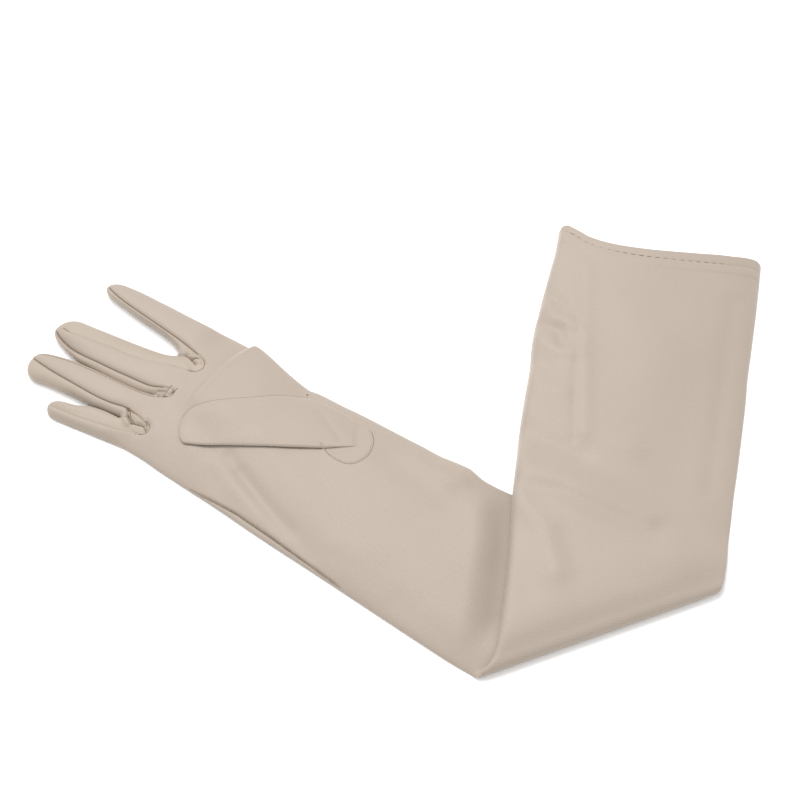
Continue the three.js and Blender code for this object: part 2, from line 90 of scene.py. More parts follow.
ARM_FOLDS = (
    (((330, -52), (321, -44), (319, -29), (312, 0), (307, 14)), 1.25, 6.5),
    (((311, -50), (311, -28), (304, -6), (300, 18)), -1.0, 6.0),
    (((307, -49), (298, -42), (290, -32), (268, -23)), 0.95, 5.5),
    (((292, -48), (270, -40), (255, -34)), -0.5, 6.0),
    (((285, -20), (268, 22)), -0.5, 11.0),
    (((348, -54), (341, -40), (336, -22)), -0.8, 5.5),
    (((360, -52), (352, -26), (346, 2)), 0.6, 7.5),
    (((440, -54), (433, -50), (431, -45)), -1.1, 3.4),
    (((427, -52), (421, -48), (415, -36)), 0.95, 3.2),
    (((416, -55), (413, -50), (412, -44), (402, -40)), -1.2, 3.2),
    (((404, -54), (399, -44), (397, -34)), 0.95, 4.0),
    (((391, -53), (387, -45)), -0.8, 3.8),
    (((380, -53), (372, -46), (372, -36)), 0.6, 4.5),
    (((456, -40), (442, -38), (404, -33.5), (367, -28.5), (345, -26)), -0.5, 1.7),
    (((456, -36.5), (404, -29.5), (350, -22)), 0.45, 4.0),
    (((452, 43), (331, 41)), -0.7, 4.5),
    (((440, -10), (370, 8)), 0.35, 18.0),
    (((400, 30), (330, 26)), -0.35, 14.0),
    (((290, 30), (262, 48)), 0.5, 9.0),
)

# Lip of the upper cloth along the little finger's edge of the forearm: along, distance in from the edge
LIP_LINE = ((38, 0.0), (44, 0.5), (50, 1.0), (60, 1.9), (72, 2.8), (89, 2.7), (106, 1.9), (120, 1.4),
            (130, 0.9), (135, 0.0))

# Seam loops at the crotches of the fingers: middle across, half width, how far the loop goes into the palm
CROTCH_LOOPS = (
    {"middle": 17.4, "half": 5.0, "drift": -0.9, "end": 3.0, "bottom": (14.8, 18.5)},
    {"middle": -4.6, "half": 2.9, "drift": 1.3, "end": 1.6, "bottom": (7.5, -9.0)},
    {"middle": -27.4, "half": 3.5, "drift": 0.1, "end": 5.4, "bottom": (12.0, -27.8)},
)

# Fingers: edges on the floor and seams on top, each as (out, across); tip is the length and the middle there
FINGERS = (
    {
        "name": "index_finger", "tip": 74.8, "round": 9.5, "middle": 33.4, "height": 8.3,
        "low": ((0, 21.6), (14.4, 20.9), (18, 22.8), (23, 24.7), (30.3, 26.0), (49.8, 27.5), (66, 29.4),
                (76, 30.2)),
        "high": ((0, 43.75), (10, 43.3), (21.6, 42.7), (30, 42.4), (38, 42.2), (46, 41.8), (55, 41.5), (64, 40.6),
                 (76, 39.4)),
        "low_seam": ((0, 22.4), (2.7, 23.0), (20, 25.8), (37, 27.5), (60, 29.8), (70, 31.8), (76, 34.0)),
        "high_seam": None,
    },
    {
        "name": "middle_finger", "tip": 77.4, "round": 9.2, "middle": -2.6, "height": 8.5,
        "sag": ((0, 0.0), (42, 0.0), (66, 3.2), (79, 3.4)),
        "low": ((0, -3.5), (7.5, -8.6), (16, -11.0), (27, -12.2), (41, -13.0), (50, -12.9), (55, -12.2),
                (60, -11.2), (66, -9.9), (70, -8.8), (79, -7.6)),
        "high": ((0, 13.4), (8, 17.2), (12.9, 17.9), (20, 15.4), (33.2, 12.7), (53.8, 9.7), (70, 7.5), (79, 6.6)),
        "low_seam": ((0, -1.7), (3.1, -2.5), (11.8, -6.3), (22, -7.6), (36, -9.1), (50.4, -9.9), (60, -9.3),
                     (65.6, -8.3), (70, -7.2), (79, -5.0)),
        "high_seam": ((0, 12.4), (2.3, 12.2), (13.6, 9.1), (25, 4.7), (45, 1.2), (58.6, -1.0), (68, -2.2),
                      (79, -3.0)),
    },
    {
        "name": "ring_finger", "tip": 73.6, "round": 10.0, "middle": -24.2, "height": 7.9,
        "low": ((0, -24.6), (11, -26.7), (20, -28.1), (31, -29.6), (41, -30.2), (49, -31.3), (57.5, -32.4),
                (66, -34.0), (76, -34.0)),
        "high": ((0, -7.3), (7.5, -9.4), (16, -11.6), (27, -12.7), (41, -13.8), (54, -15.4), (66, -18.2),
                 (76, -19.8)),
        "low_seam": ((0, -24.0), (11.7, -23.1), (21.3, -25.2), (30.5, -26.2), (43.8, -26.5), (57.5, -26.7),
                     (66, -26.4), (76, -26.0)),
        "high_seam": ((0, -7.7), (5.6, -10.3), (15.6, -12.4), (26.6, -13.4), (40.6, -14.9), (54.6, -16.9),
                      (66, -20.0), (76, -23.0)),
    },
    {
        "name": "little_finger", "tip": 46.9, "round": 8.0, "middle": -41.6, "height": 7.3,
        "low": ((0, -39.65), (10, -41.2), (23.4, -43.3), (40, -45.9), (49, -46.8)),
        "high": ((0, -30.9), (12, -28.6), (20, -29.1), (26, -30.2), (29, -31.2), (32, -33.1), (36, -35.0),
                 (40, -36.2), (49, -37.8)),
        "low_seam": None,
        "high_seam": ((0, -31.3), (7.8, -34.0), (19.3, -37.2), (34.2, -40.4), (42, -41.6), (49, -42.2)),
    },
)

# Creases of the forks at the crotches: from and to as (out, across), depth and width
FORK_CREASES = (
    (((12.7, 18.8), (10.0, 19.9), 0.6, 0.7), ((10.0, 19.9), (6.0, 19.3), 0.9, 0.7),
     ((6.0, 19.3), (1.7, 17.7), 1.3, 0.7), ((5.6, 19.4), (2.9, 22.1), 1.1, 0.6),
     ((11, 22.5), (8, 22), -0.6, 1.2), ((3.4, 20.0), (0.5, 19.6), -0.7, 1.0)),
    (((6, -6), (2, -4), 0.8, 0.7),),
    (((11.9, -22.1), (8.6, -25.9), 1.0, 0.7), ((8.6, -25.9), (4.8, -28.1), 1.4, 0.7),
     ((4.8, -28.1), (-2.1, -26.3), 1.0, 0.6), ((-1.7, -23.5), (-4.5, -28.0), 1.1, 0.6),
     ((10.5, -27.5), (6.5, -29.5), -0.9, 1.2), ((6.0, -24.5), (1.5, -25.5), -0.9, 1.2)),
)

# Dark thread lines laid in the creases at the crotches, which are painted shade of those creases, as (along,
# across)
CREASE_SHADE_LINES = (
    ((-1.8, -6.6), (-2.0, 0.0)), ((1.7, -4.1), (1.4, 0.3)), ((-1.2, -6.8), (1.0, -6.9)),
    ((-3.9, -9.4), (-3.4, -6.8), (-1.8, -6.8)),
    ((-13.5, -23.2), (-10.4, -22.6), (-6.3, -26.4), (-2.0, -27.9), (1.5, -26.7), (5.0, -28.4)),
    ((-10.0, 19.9), (-6.0, 19.3), (-1.7, 17.7)), ((-5.4, 19.6), (-4.7, 20.8), (-2.9, 22.1)),
    ((-74.2, -1.6), (-71.2, -1.9), (-68.7, -2.7)),
)
# Gathers of satin at the crotch between the middle and the ring finger: from, to, half width
GATHERS = (
    ((-0.2, -6.2), (-0.6, 1.2), 1.35), ((2.6, -3.6), (2.3, 0.6), 0.5), ((-3.9, -9.2), (-3.3, -7.0), 0.6),
    ((-2.8, -7.0), (-1.8, -7.3), 0.5), ((-1.6, 1.9), (-0.6, 2.6), 0.4), ((0.2, 2.0), (1.2, 2.4), 0.4),
    ((1.6, 1.4), (2.4, 2.0), 0.35),
)

# Threads by kind: their thickness, and how deep they lie in the cloth; the crease kind is painted shade of the
# creases, and the side and thumb kinds are partly painted shade
STITCHES = {"finger": (0.25, 0.0), "faint": (0.13, 0.12), "loop": (0.16, 0.03), "side": (0.15, 0.04),
            "crease": (0.24, 0.05), "oval": (0.18, 0.02), "thumb": (0.16, 0.03), "hem": (0.17, 0.04)}
# The knot at the edge of the hand: along, across, turn in degrees and length of each loop of thread
KNOT = ((55.0, 35.4, 20, 0.9), (55.4, 35.1, 75, 0.8), (55.6, 35.5, 130, 0.8))

# Thumb in its own frame: out runs from the pinch at its root along the lower fold, up across it
THUMB_PINCH = (94.7, 21.8)
THUMB_TURN = math.radians(33.7)
THUMB_TIP = 86.3
OVAL_END = 16.3                 # how far out the hole in the palm reaches
OVAL_BOX = (40, 115, 5, 42)     # part of the palm round the oval seam: along from and to, across from and to
THUMB_TOP = ((-8.7, 3.6), (-8.3, 7.2), (-6.3, 11.6), (-2.7, 15.8), (1.9, 18.9), (9, 23.9), (16.2, 28.1),
             (24.0, 31.0), (33.7, 30.4), (40.8, 29.6), (50, 27.4), (63.9, 25.1), (74, 23.0), (80.6, 20.6),
             (84.2, 16.8),
             (86.0, 12.0), (86.3, 9.0))
THUMB_FOLD = ((-8.7, 3.4), (-6, 2.2), (0, 0.0), (8, -1.0), (17, -1.8), (38.7, -2.0), (61.7, -1.1), (78, -0.2),
              (83, 0.6), (85.4, 4.4), (86.3, 8.8))
OVAL_LOW = ((-8.7, 3.2), (-7.6, -2.2), (-6, -5.4), (-3.5, -8.3), (-1, -10.1), (2, -11.1), (5, -10.8), (8.5, -9.0),
            (12.5, -6.1), (16.4, -0.5))


# Shares between the thumb's fold and the inner end of the cloth turned under it
UNDER_SHARES = np.array([0.06, 0.15, 0.35, 0.6, 0.85, 1.0])

# Slow waves of the cloth: height, length and the number that starts their draw
WAVES = {"hand": (0.16, 34, 5), "arm": (0.2, 38, 11), "thumb": (0.16, 26, 23)}
WAVE_COUNT = 7

# How much of the soft folds the palm and the arm take, and how much a crown sinks at its sides
HAND_FOLD_SHARE = 1.15
ARM_FOLD_SHARE = 1.3
CROWN_DROP = 0.12

# Stretches over which the cloth goes over from one state to the next
COVERED_TO_FREE = (-2, 13)      # out from under the arm
TUCKED_IN = (4, 22)             # ahead of the elbow fold
FILLED_ARM = (0, 190)           # past the elbow fold, to the mouth's loft
PALM_TO_FINGER = (0, 16)        # past the knuckle line
THUMB_LET_GO = (22.5, 26.5)     # out of the thumb's root

MOUTH_HALF = 55.0
WEB_RIDGE = 10
STITCH_LINE = 5.3           # hem's stitch line from the mouth's edge
SEAM_SHARE = 0.865          # height of a finger's seams as a share of its height
CROWN_PLUS = 0.35           # rise of a finger's cloth between its seams above its height
STRIP_TUCK = 2.2            # how far a fork strip reaches under a finger
FLOOR_GAP = 0.12            # underside of the fingers above the floor
ON_PALM = 0.3               # thumb's cloth above the palm it lies on
LOWEST_SKIN = 0.45
LOWEST_HEM = 0.42
UP = (0, 0, 1)
RIB_CONTRAST = 0.55

# Thickness of the cloths
SLEEVE_WALL = 0.4
FINGER_WALL = 0.35
THIN_WALL = 0.3


def ease(value, low, high):
    """Smooth step from 0 at low to 1 at high."""
    share = np.clip((np.asarray(value, dtype=float) - low) / (high - low), 0, 1)
    return share * share * (3 - 2 * share)


def through(points, at):
    """Smooth curve through the points of a table, without overshoot."""
    x, y = (np.array(column, dtype=float) for column in zip(*points))
    step = np.diff(x)
    rise = np.diff(y) / step
    slope = np.zeros_like(y)
    same = rise[:-1] * rise[1:] > 0
    one, two = 2 * step[1:] + step[:-1], step[1:] + 2 * step[:-1]
    with np.errstate(divide="ignore", invalid="ignore"):
        mean = (one + two) / (one / rise[:-1] + two / rise[1:])
    slope[1:-1] = np.where(same, mean, 0)
    slope[0], slope[-1] = rise[0], rise[-1]
    at = np.clip(np.asarray(at, dtype=float), x[0], x[-1])
    k = np.clip(np.searchsorted(x, at, side="right") - 1, 0, len(step) - 1)
    t = (at - x[k]) / step[k]
    a = (1 + 2 * t) * (1 - t) ** 2
    b = t * (1 - t) ** 2
    c = t * t * (3 - 2 * t)
    d = t * t * (t - 1)
    return a * y[k] + b * step[k] * slope[k] + c * y[k + 1] + d * step[k] * slope[k + 1]


def bezier(corners, t):
    """Points of a cubic curve; corners are four (across, height) pairs of arrays."""
    (a, b), (c, d), (e, f), (g, h) = corners
    w = ((1 - t) ** 3, 3 * t * (1 - t) ** 2, 3 * t * t * (1 - t), t ** 3)
    return w[0] * a + w[1] * c + w[2] * e + w[3] * g, w[0] * b + w[1] * d + w[2] * f + w[3] * h


def hump(distance, width):
    """Smooth bump: 1 at no distance, gone at about twice the width."""
    return np.exp(-(distance / width) ** 2)


def fade(distance, width):
    """Falls from 1 towards 0."""
    return np.exp(-distance / width)


def uneven(count, crowded, even):
    """Shares from 0 to 1, closer together at both ends; the two weights make 1 together."""
    share = np.linspace(0, 1, count)
    return crowded * (0.5 - 0.5 * np.cos(math.pi * share)) + even * share


def lengths_along(points):
    """Length from the first point of a polyline to each of its points."""
    return np.concatenate([[0], np.cumsum(np.linalg.norm(np.diff(points, axis=0), axis=-1))])


def away_from(along, across, start, end):
    """Distance to a stretch of straight line."""
    run = np.array(end, dtype=float) - np.array(start, dtype=float)
    share = ((along - start[0]) * run[0] + (across - start[1]) * run[1]) / (run @ run)
    share = np.clip(share, 0, 1)
    return np.hypot(along - start[0] - share * run[0], across - start[1] - share * run[1])


def line_distance(along, across, points):
    """Distance to a line of several stretches."""
    near = np.full(np.broadcast(along, across).shape, 999.0)
    for start, end in zip(points[:-1], points[1:]):
        near = np.minimum(near, away_from(along, across, start, end))
    return near


def folds_at(table, along, across):
    """Height of the soft folds of one table."""
    total = np.zeros(np.broadcast(along, across).shape)
    for points, rise, reach in table:
        total += rise * hump(line_distance(along, across, points), reach)
    return total


def ripple(kind, along, across):
    """Height of the slow uneven waves, which repeat exactly each run."""
    rise, size, seed = WAVES[kind]
    draw = np.random.default_rng(seed)
    total = np.zeros(np.broadcast(along, across).shape)
    for _ in range(WAVE_COUNT):
        turn = draw.uniform(0, math.tau)
        length = size * draw.uniform(0.7, 1.6)
        phase = draw.uniform(0, math.tau)
        total += np.sin(math.tau * (along * math.cos(turn) + across * math.sin(turn)) / length + phase)
    return rise * (total / (WAVE_COUNT / 2))


def width_share(along, across):
    """Place across the sleeve: -1 and 1 at its side edges."""
    return across / (through(SLEEVE_WIDTHS, along) / 2)


class Lay:
    """The flat glove, its sizes, and how it lies folded on the floor."""

    def __init__(self, sizes):
        self.under = sizes.under_depth / MM
        self.loft = sizes.palm_loft / MM
        self.mouth_loft = sizes.mouth_loft / MM
        self.length = sizes.sleeve_length / MM
        self.elbow = sizes.elbow_distance / MM
        self.slant = sizes.elbow_slant
        self.turn = sizes.arm_turn
        self.radius = sizes.fold_radius / MM
        self.edge = sizes.edge_height / MM
        self.web = sizes.web_rise / MM
        self.tucked = sizes.tucked_depth / MM
        self.cos, self.sin = math.cos(self.slant), math.sin(self.slant)
        self.shift = (sizes.origin_x / MM, sizes.origin_y / MM)

    def edge_at(self, along, side):
        """Side edge of the flat sleeve."""
        half = through(SLEEVE_WIDTHS, along) / 2
        if side < 0:
            return -(half + through(EDGE_SWING, along))
        return half + through(WEB_SWING, along)

    def past(self, along, across):
        """How far a point lies past the elbow fold."""
        return (along - self.elbow) * self.cos - across * self.sin

    def crossed(self, along, across, distance):
        """Moves a point across the fold line."""
        return along + distance * self.cos, across - distance * self.sin

    def web_rise(self, along, across):
        """The raised web of the thumb, with a steep side towards the fingers."""
        share = width_share(along, across)
        ridge = WEB_RIDGE + 4 * (share - 0.45) ** 2
        steep = ease(along, ridge - 1.0, ridge + 2.2)
        crest = 0.3 * hump(along - ridge - 2.6, 1.8)
        behind = 1 - ease(along, ridge + 16, ridge + 52)
        return (self.web * steep * behind + crest) * ease(share, -0.42, 0.1)

    def palm_depth(self, along, across):
        """Loft of the palm's side of the cloth."""
        past = self.past(along, across)
        mirror_along, mirror_across = self.crossed(along, across, -2 * past)
        outside = self.edge_at(mirror_along, -1) - mirror_across
        free = np.where(past > 0, 0, ease(outside, *COVERED_TO_FREE))
        share = width_share(along, across)
        crown = self.loft * (1 - CROWN_DROP * share * share)
        crown = crown + HAND_FOLD_SHARE * folds_at(HAND_FOLDS, along, across) + ripple("hand", along, across)
        crown = crown + self.web_rise(along, across)
        pinned = self.under - self.tucked * (past < 0) * ease(-past, *TUCKED_IN)
        return pinned + (crown - pinned) * free

    def back_depth(self, along, across):
        """Loft of the back of the hand's side, which faces up past the elbow."""
        past = self.past(along, across) - math.pi * self.radius
        share = width_share(along, across)
        rise = ease(past, *FILLED_ARM)
        crown = self.under + (self.mouth_loft - self.under) * rise
        crown = crown * (1 - CROWN_DROP * share * share * rise)
        crown = crown + 0.5 * ease(past, 0, 30) * (1 - share * share)
        waves = ARM_FOLD_SHARE * folds_at(ARM_FOLDS, along, across) + ripple("arm", along, across)
        return crown + waves * ease(past, 0, 14)

    def laid(self, along, across):
        """Place on the floor of a point of the flat sleeve, its height, and its turn round the fold."""
        past = self.past(along, across)
        turn = np.clip(past / self.radius, 0, math.pi)
        over = np.maximum(0, past - math.pi * self.radius)
        out = np.where(past < 0, past, self.radius * np.sin(turn) - over)
        there_along, there_across = self.crossed(along, across, out - past)
        beyond = there_across - self.edge_at(there_along, 1)
        drop = np.where(turn < math.pi, 0, ease(beyond, 0, 34))
        height = self.under + self.radius * (1 - np.cos(turn)) * (1 - drop)
        return there_along, there_across, height, turn

    def floor(self, along, across, height):
        """Point in the row frame, in metres."""
        c, s = math.cos(self.turn), math.sin(self.turn)
        x = along * c - across * s + self.shift[0]
        y = along * s + across * c + self.shift[1]
        return np.stack([x, y, height + 0 * x], axis=-1) * MM

    def swell(self, inside, slow):
        """How far the cloth has risen at a distance in from a side edge."""
        fast_part = 1 - fade(inside, 0.8)
        slow_part = 1 - fade(inside, 12.0)
        soft = 0.14 * fast_part + 0.86 * slow_part
        return slow * soft + (1 - slow) * fast_part

    def skin(self, along, across, inside_low, inside_high, face):
        """Point of the sleeve's outer skin: face is 1 on the palm's side and -1 on the other."""
        there_along, there_across, height, turn = self.laid(along, across)
        flat = np.cos(turn)
        lift = through(WEB_LIFT, along) * (np.asarray(inside_high) < 30)
        lift = lift * fade(inside_high, 9.0) if face > 0 else 0.75 * lift * fade(inside_high, 5.0)
        rest = -(self.under - self.edge) * flat
        slow = np.clip(face * flat, 0, 1)
        steeper = slow if face > 0 else 0.4 * slow
        full = self.swell(60.0, steeper) * self.swell(30.0, slow)
        swollen = self.swell(inside_low, steeper) * self.swell(inside_high, slow) / full
        if face > 0:
            depth = self.palm_depth(along, across)
            away = rest + (depth - rest) * swollen
            away = self.lip(along, inside_low, away)
            away = away + lift - crotch_dip(along, across) * (flat > 0)
        else:
            fuller = 0.2 + 0.8 * ease(self.past(along, across) / self.radius, math.pi / 2, math.pi / 2 + 4.7)
            fuller = np.where(turn < math.pi / 2, 1 - 0.8 * np.sin(turn) ** 2, fuller)
            depth = self.back_depth(along, across) * fuller
            away = rest - (depth + rest) * swollen + lift
        there_along, there_across = self.crossed(there_along, there_across, -away * np.sin(turn))
        inward = np.maximum(self.radius - self.past(there_along, there_across), 0)
        pull = (0.55 - 0.008 * there_across) * hump(inward, 9)
        there_along, there_across = self.crossed(there_along, there_across, -pull)
        height = (height + away * flat) * (1 - 0.27 * hump(inward, 11))
        return self.floor(there_along, there_across, np.maximum(height, LOWEST_SKIN))

    def lip(self, along, inside, away):
        """The upper cloth's lip above a strip of the lower one, along the little finger's edge."""
        reach = through(LIP_LINE, along) * ((along > LIP_LINE[0][0]) & (along < LIP_LINE[-1][0]))
        shown = ease(reach, 0.1, 1.2)
        strip = self.edge - self.under + 0.9 * (1 - fade(inside, 0.5))
        groove = 0.7 * hump(inside - reach + 0.3, 0.4) * ease(inside, 0.1, 0.6)
        above = away + 0.5 * fade(np.maximum(inside - reach, 0), 4.0)
        step = ease(inside, reach - 0.25, reach + 0.35)
        lipped = (1 - step) * (strip - groove) + step * above
        return np.where(shown > 0, (1 - shown) * away + shown * lipped, away)

    def top_of_palm(self, along, across):
        """Height of the palm's upper skin above the floor."""
        inside_low = across - self.edge_at(along, -1)
        inside_high = self.edge_at(along, 1) - across
        point = self.skin(along, across, np.maximum(inside_low, 0), np.maximum(inside_high, 0), 1)
        return point[..., 2] / MM


def loop_start(loop):
    """Where a crotch's seam loop leaves its straight sides."""
    return loop["end"] - 1.15 * loop["half"]


def loop_place(loop, angle, half):
    """Place on the round end of a crotch's seam loop."""
    start = loop_start(loop)
    return start + (loop["end"] - start) * math.sin(angle), loop["middle"] + half * math.cos(angle)


def loop_distance(loop, along, across):
    """Signed distance to a crotch's seam loop, positive outside it."""
    middle = loop["middle"] + loop["drift"] * np.minimum(along, 0) * -0.2
    start = loop_start(loop)
    beyond = np.maximum(along - start, 0) / (loop["end"] - start)
    return loop["half"] * (np.hypot((across - middle) / loop["half"], beyond) - 1)


def crotch_dip(along, across):
    """How far the palm's skin dips beside and inside the seam loops of the crotches."""
    total = np.zeros(np.broadcast(along, across).shape)
    for loop in CROTCH_LOOPS:
        far = loop_distance(loop, along, across)
        groove = 0.85 * hump(np.maximum(far, 0), 0.75)
        inner = 3.4 * ease(-far, 0, 0.9)
        total += (groove + inner) * ease(along, -6, -1)
    return total


def thumb_place(out, up):
    """Flat place of a point given in the thumb's own frame."""
    along = THUMB_PINCH[0] - out * math.cos(THUMB_TURN) - up * math.sin(THUMB_TURN)
    across = THUMB_PINCH[1] - out * math.sin(THUMB_TURN) + up * math.cos(THUMB_TURN)
    return along, across


def oval_line():
    """The oval seam at the thumb's root, as flat places in order."""
    right = np.array([-8.7, -8.5, -7.6, -6.3, -4.5, -2.7, -0.4, 1.9, 5.5, 9, 12.6, 16.2, 20, 24])
    low = np.array([16.4, 14.5, 12.5, 10.5, 8.5, 6.7, 5, 3.5, 2, 0.5, -1, -2.3, -3.5, -4.8, -6, -6.9, -7.6, -8.3])
    out = np.concatenate([low, right])
    up = np.concatenate([through(OVAL_LOW, low), through(THUMB_TOP, right)])
    return np.stack(thumb_place(out, up), axis=-1)


def thumb_dip(along, across):
    """How far the palm dips at the oval seam of the thumb."""
    dip = np.zeros(along.shape)
    near = (along > OVAL_BOX[0]) & (along < OVAL_BOX[1]) & (across > OVAL_BOX[2]) & (across < OVAL_BOX[3])
    dip[near] = 0.9 * hump(line_distance(along[near], across[near], oval_line()), 0.6)
    return dip


# ---------------------------------------------------------------- meshes

def add_piece(name, vertices, faces, corners, thickness, material):
    """A smoothed piece from its points, faces and flat places, thickened inwards if a thickness is given."""
    mesh = bpy.data.meshes.new(name)
    mesh.from_pydata(vertices, [], faces)
    mesh.uv_layers.new(name="cloth").data.foreach_set("uv", np.array(corners, dtype=np.float32).reshape(-1))
    piece = bpy.data.objects.new(name, mesh)
    bpy.context.collection.objects.link(piece)
    bpy.ops.object.select_all(action="DESELECT")
    bpy.context.view_layer.objects.active = piece
    piece.select_set(True)
    bpy.ops.object.mode_set(mode="EDIT")
    bpy.ops.mesh.select_all(action="SELECT")
    bpy.ops.mesh.remove_doubles(threshold=1e-6)
    bpy.ops.object.mode_set(mode="OBJECT")
    if thickness:
        wall = piece.modifiers.new("wall", "SOLIDIFY")
        wall.thickness = thickness * MM
        wall.offset = -1
        bpy.ops.object.modifier_apply(modifier=wall.name)
    bpy.ops.object.shade_smooth_by_angle(angle=math.radians(50))
    piece.data.materials.append(material)
    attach(piece, "root")
    return piece


def add_cloth(name, grids, thickness, material, flip=False):
    """One piece of cloth from grids of points and their flat places.

    A grid with one more column of flat places than of points is closed round.
    """
    vertices, faces, corners = [], [], []
    offset = 0
    for points, uvs in grids:
        rows, columns = points.shape[:2]
        i, j = np.meshgrid(np.arange(rows - 1), np.arange(uvs.shape[1] - 1), indexing="ij")
        here, after, k = i * columns, (i + 1) * columns, (j + 1) % columns
        quads = np.stack([here + j, here + k, after + k, after + j], axis=-1).reshape(-1, 4) + offset
        places = np.stack([uvs[i, j], uvs[i, j + 1], uvs[i + 1, j + 1], uvs[i + 1, j]], axis=2)
        places = places.reshape(-1, 4, 2)
        if flip:
            quads, places = quads[:, ::-1], places[:, ::-1]
        vertices.append(points.reshape(-1, 3))
        faces.append(quads)
        corners.append(places)
        offset += rows * columns
    return add_piece(name, np.concatenate(vertices).tolist(), np.concatenate(faces).tolist(),
                     np.concatenate(corners), thickness, material)


def spaced(low, high, step):
    """Evenly spaced values from low up to, but not with, high."""
    count = max(1, round((high - low) / step))
    return [low + (high - low) * i / count for i in range(count)]


# Distances of the sleeve's columns from a side edge, and how many more lie between them
EDGE_STEPS = (0, 0.2, 0.5, 0.85, 1.2, 1.6, 2.0, 2.4, 2.8, 3.3, 4.0, 5.0, 6.4, 8.2)
INNER_COLUMNS = 44


def sleeve_columns(low, high):
    """Places across of the sleeve's columns between its two side edges."""
    last = EDGE_STEPS[-1]
    inner = [(i + 1) / (INNER_COLUMNS + 1) for i in range(INNER_COLUMNS)]
    across = [low + step for step in EDGE_STEPS]
    across += [low + last + (high - low - 2 * last) * share for share in inner]
    across += [high - step for step in reversed(EDGE_STEPS)]
    return np.concatenate(across, axis=1)


def sleeve_rows(lay):
    """Start of each row of the sleeve and its share of the fold's slant."""
    before = lay.elbow - 3
    after = lay.elbow + (math.pi * lay.radius + 3) / lay.cos
    straight = after + 0.85 * (lay.length - after)
    stretches = (
        (0, 17, 0.42, lambda start: 0.0),
        (17, 90, 1.5, lambda start: 0.0),
        (90, before, 1.7, lambda start: ease(start, 90, before)),
        (before, after, 1.0, lambda start: 1.0),
        (after, lay.length - 14, 1.7, lambda start: 1 - ease(start, after, straight)),
        (lay.length - 14, lay.length, 0.9, lambda start: 0.0),
    )
    rows = [(start, slant(start)) for low, high, step, slant in stretches for start in spaced(low, high, step)]
    return rows + [(lay.length, 0.0)]


def sleeve_grid(lay, rows, extra=0.0):
    """Flat places of the sleeve's grid: along, across and the distances from both edges."""
    slope = math.tan(lay.slant)
    start = np.array([row[0] for row in rows])[:, None]
    slant = np.array([row[1] for row in rows])[:, None]
    edges = []
    for side in (-1, 1):
        across = lay.edge_at(start, side)
        for _ in range(8):
            across = lay.edge_at(start + across * slant * slope, side)
        edges.append(across)
    low, high = edges
    across = sleeve_columns(low, high)
    cut = through(MOUTH_CUT, across / MOUTH_HALF) * ease(start, 0.85 * lay.length, lay.length)
    along = start + across * slant * slope + cut + extra
    return along, across, across - low, high - across


def opened_out(across):
    """Flat places across of the palm's side, then of the other side opened out beside it."""
    return np.concatenate([across, 2 * across[:, -1:] - across[:, -2::-1]], axis=1)


def hem_marks(lay, across, start):
    """Small relief of the hem's stitch line and of its turned-in edge, on the outside of the mouth."""
    back = lay.length - start
    from_line = back - stitch_depth(across)
    stitch = -0.3 * hump(from_line, 0.8)
    raw = -0.28 * ease(back, 11.4, 12.4) * (1 - ease(back, 14, 26))
    pucker = 0.1 * np.sin(math.tau * across / 3.8) * hump(from_line, 2.2)
    return stitch + raw + pucker


def build_sleeve(lay, material):
    """One tube of cloth from the knuckle line to the mouth."""
    rows = sleeve_rows(lay)
    along, across, inside_low, inside_high = sleeve_grid(lay, rows)
    start = np.array([row[0] for row in rows])[:, None]
    palm = lay.skin(along, across, inside_low, inside_high, 1)
    back = lay.skin(along, across, inside_low, inside_high, -1)
    marks = hem_marks(lay, across, start) * ease(start, 440, 466)
    back[..., 2] += marks * (1 - fade(np.minimum(inside_low, inside_high), 1.5)) * MM
    points = np.concatenate([palm, back[:, -2:0:-1]], axis=1)
    uvs = np.stack([opened_out(across), np.concatenate([along, along[:, -2::-1]], axis=1)], axis=-1) * MM
    return add_cloth("sleeve_cloth", [(points, uvs)], SLEEVE_WALL, material)


def palm_line(lay, out, across):
    """Height of the palm's skin carried on under a finger, without the dips of the crotches."""
    across = np.asarray(across, dtype=float)
    along = np.full(across.shape, -float(out))
    return lay.top_of_palm(along, across) + crotch_dip(along, across)


def crown_of(lay, finger, out):
    """Height of a finger's upper skin at one distance out, as a function of the place across."""
    low, high = through(finger["low"], out), through(finger["high"], out)
    settle = ease(out, *PALM_TO_FINGER)
    seam_top = SEAM_SHARE * finger["height"]
    seams = [through(finger[key], out) for key in ("low_seam", "high_seam") if finger[key]]

    def height(across):
        across = np.asarray(across, dtype=float)
        if out < 0:
            return palm_line(lay, out, across) - FLOOR_GAP
        pillow, dip = np.ones_like(across), np.zeros_like(across)
        for seam in seams:
            pillow = pillow * (1 - fade(np.abs(across - seam), 2.6))
            dip = dip + 0.8 * hump(across - seam, 0.6)
        crown = seam_top + (finger["height"] - seam_top + CROWN_PLUS) * pillow
        for side, inside in (("low", across - low), ("high", high - across)):
            if not finger[f"{side}_seam"]:
                crown = lay.edge + (crown - lay.edge) * lay.swell(np.maximum(inside, 0), 0.55)
        if "sag" in finger:
            crown = crown - through(finger["sag"], out) * fade(np.maximum(across - seams[0], 0), 4.5)
        return palm_line(lay, out, across) * (1 - settle) + crown * settle - dip

    return height


def side_line(finger, side, out):
    """Place across of a finger's seam on one side, or of its edge where it has no seam."""
    return through(finger[f"{side}_seam"] or finger[side], out)


def finger_top(lay, finger, out):
    """Upper skin of a finger at one distance out, between its seams or edges."""
    low, high = side_line(finger, "low", out), side_line(finger, "high", out)
    across = low + (high - low) * uneven(25, 0.55, 0.45)
    return across, crown_of(lay, finger, out)(across)


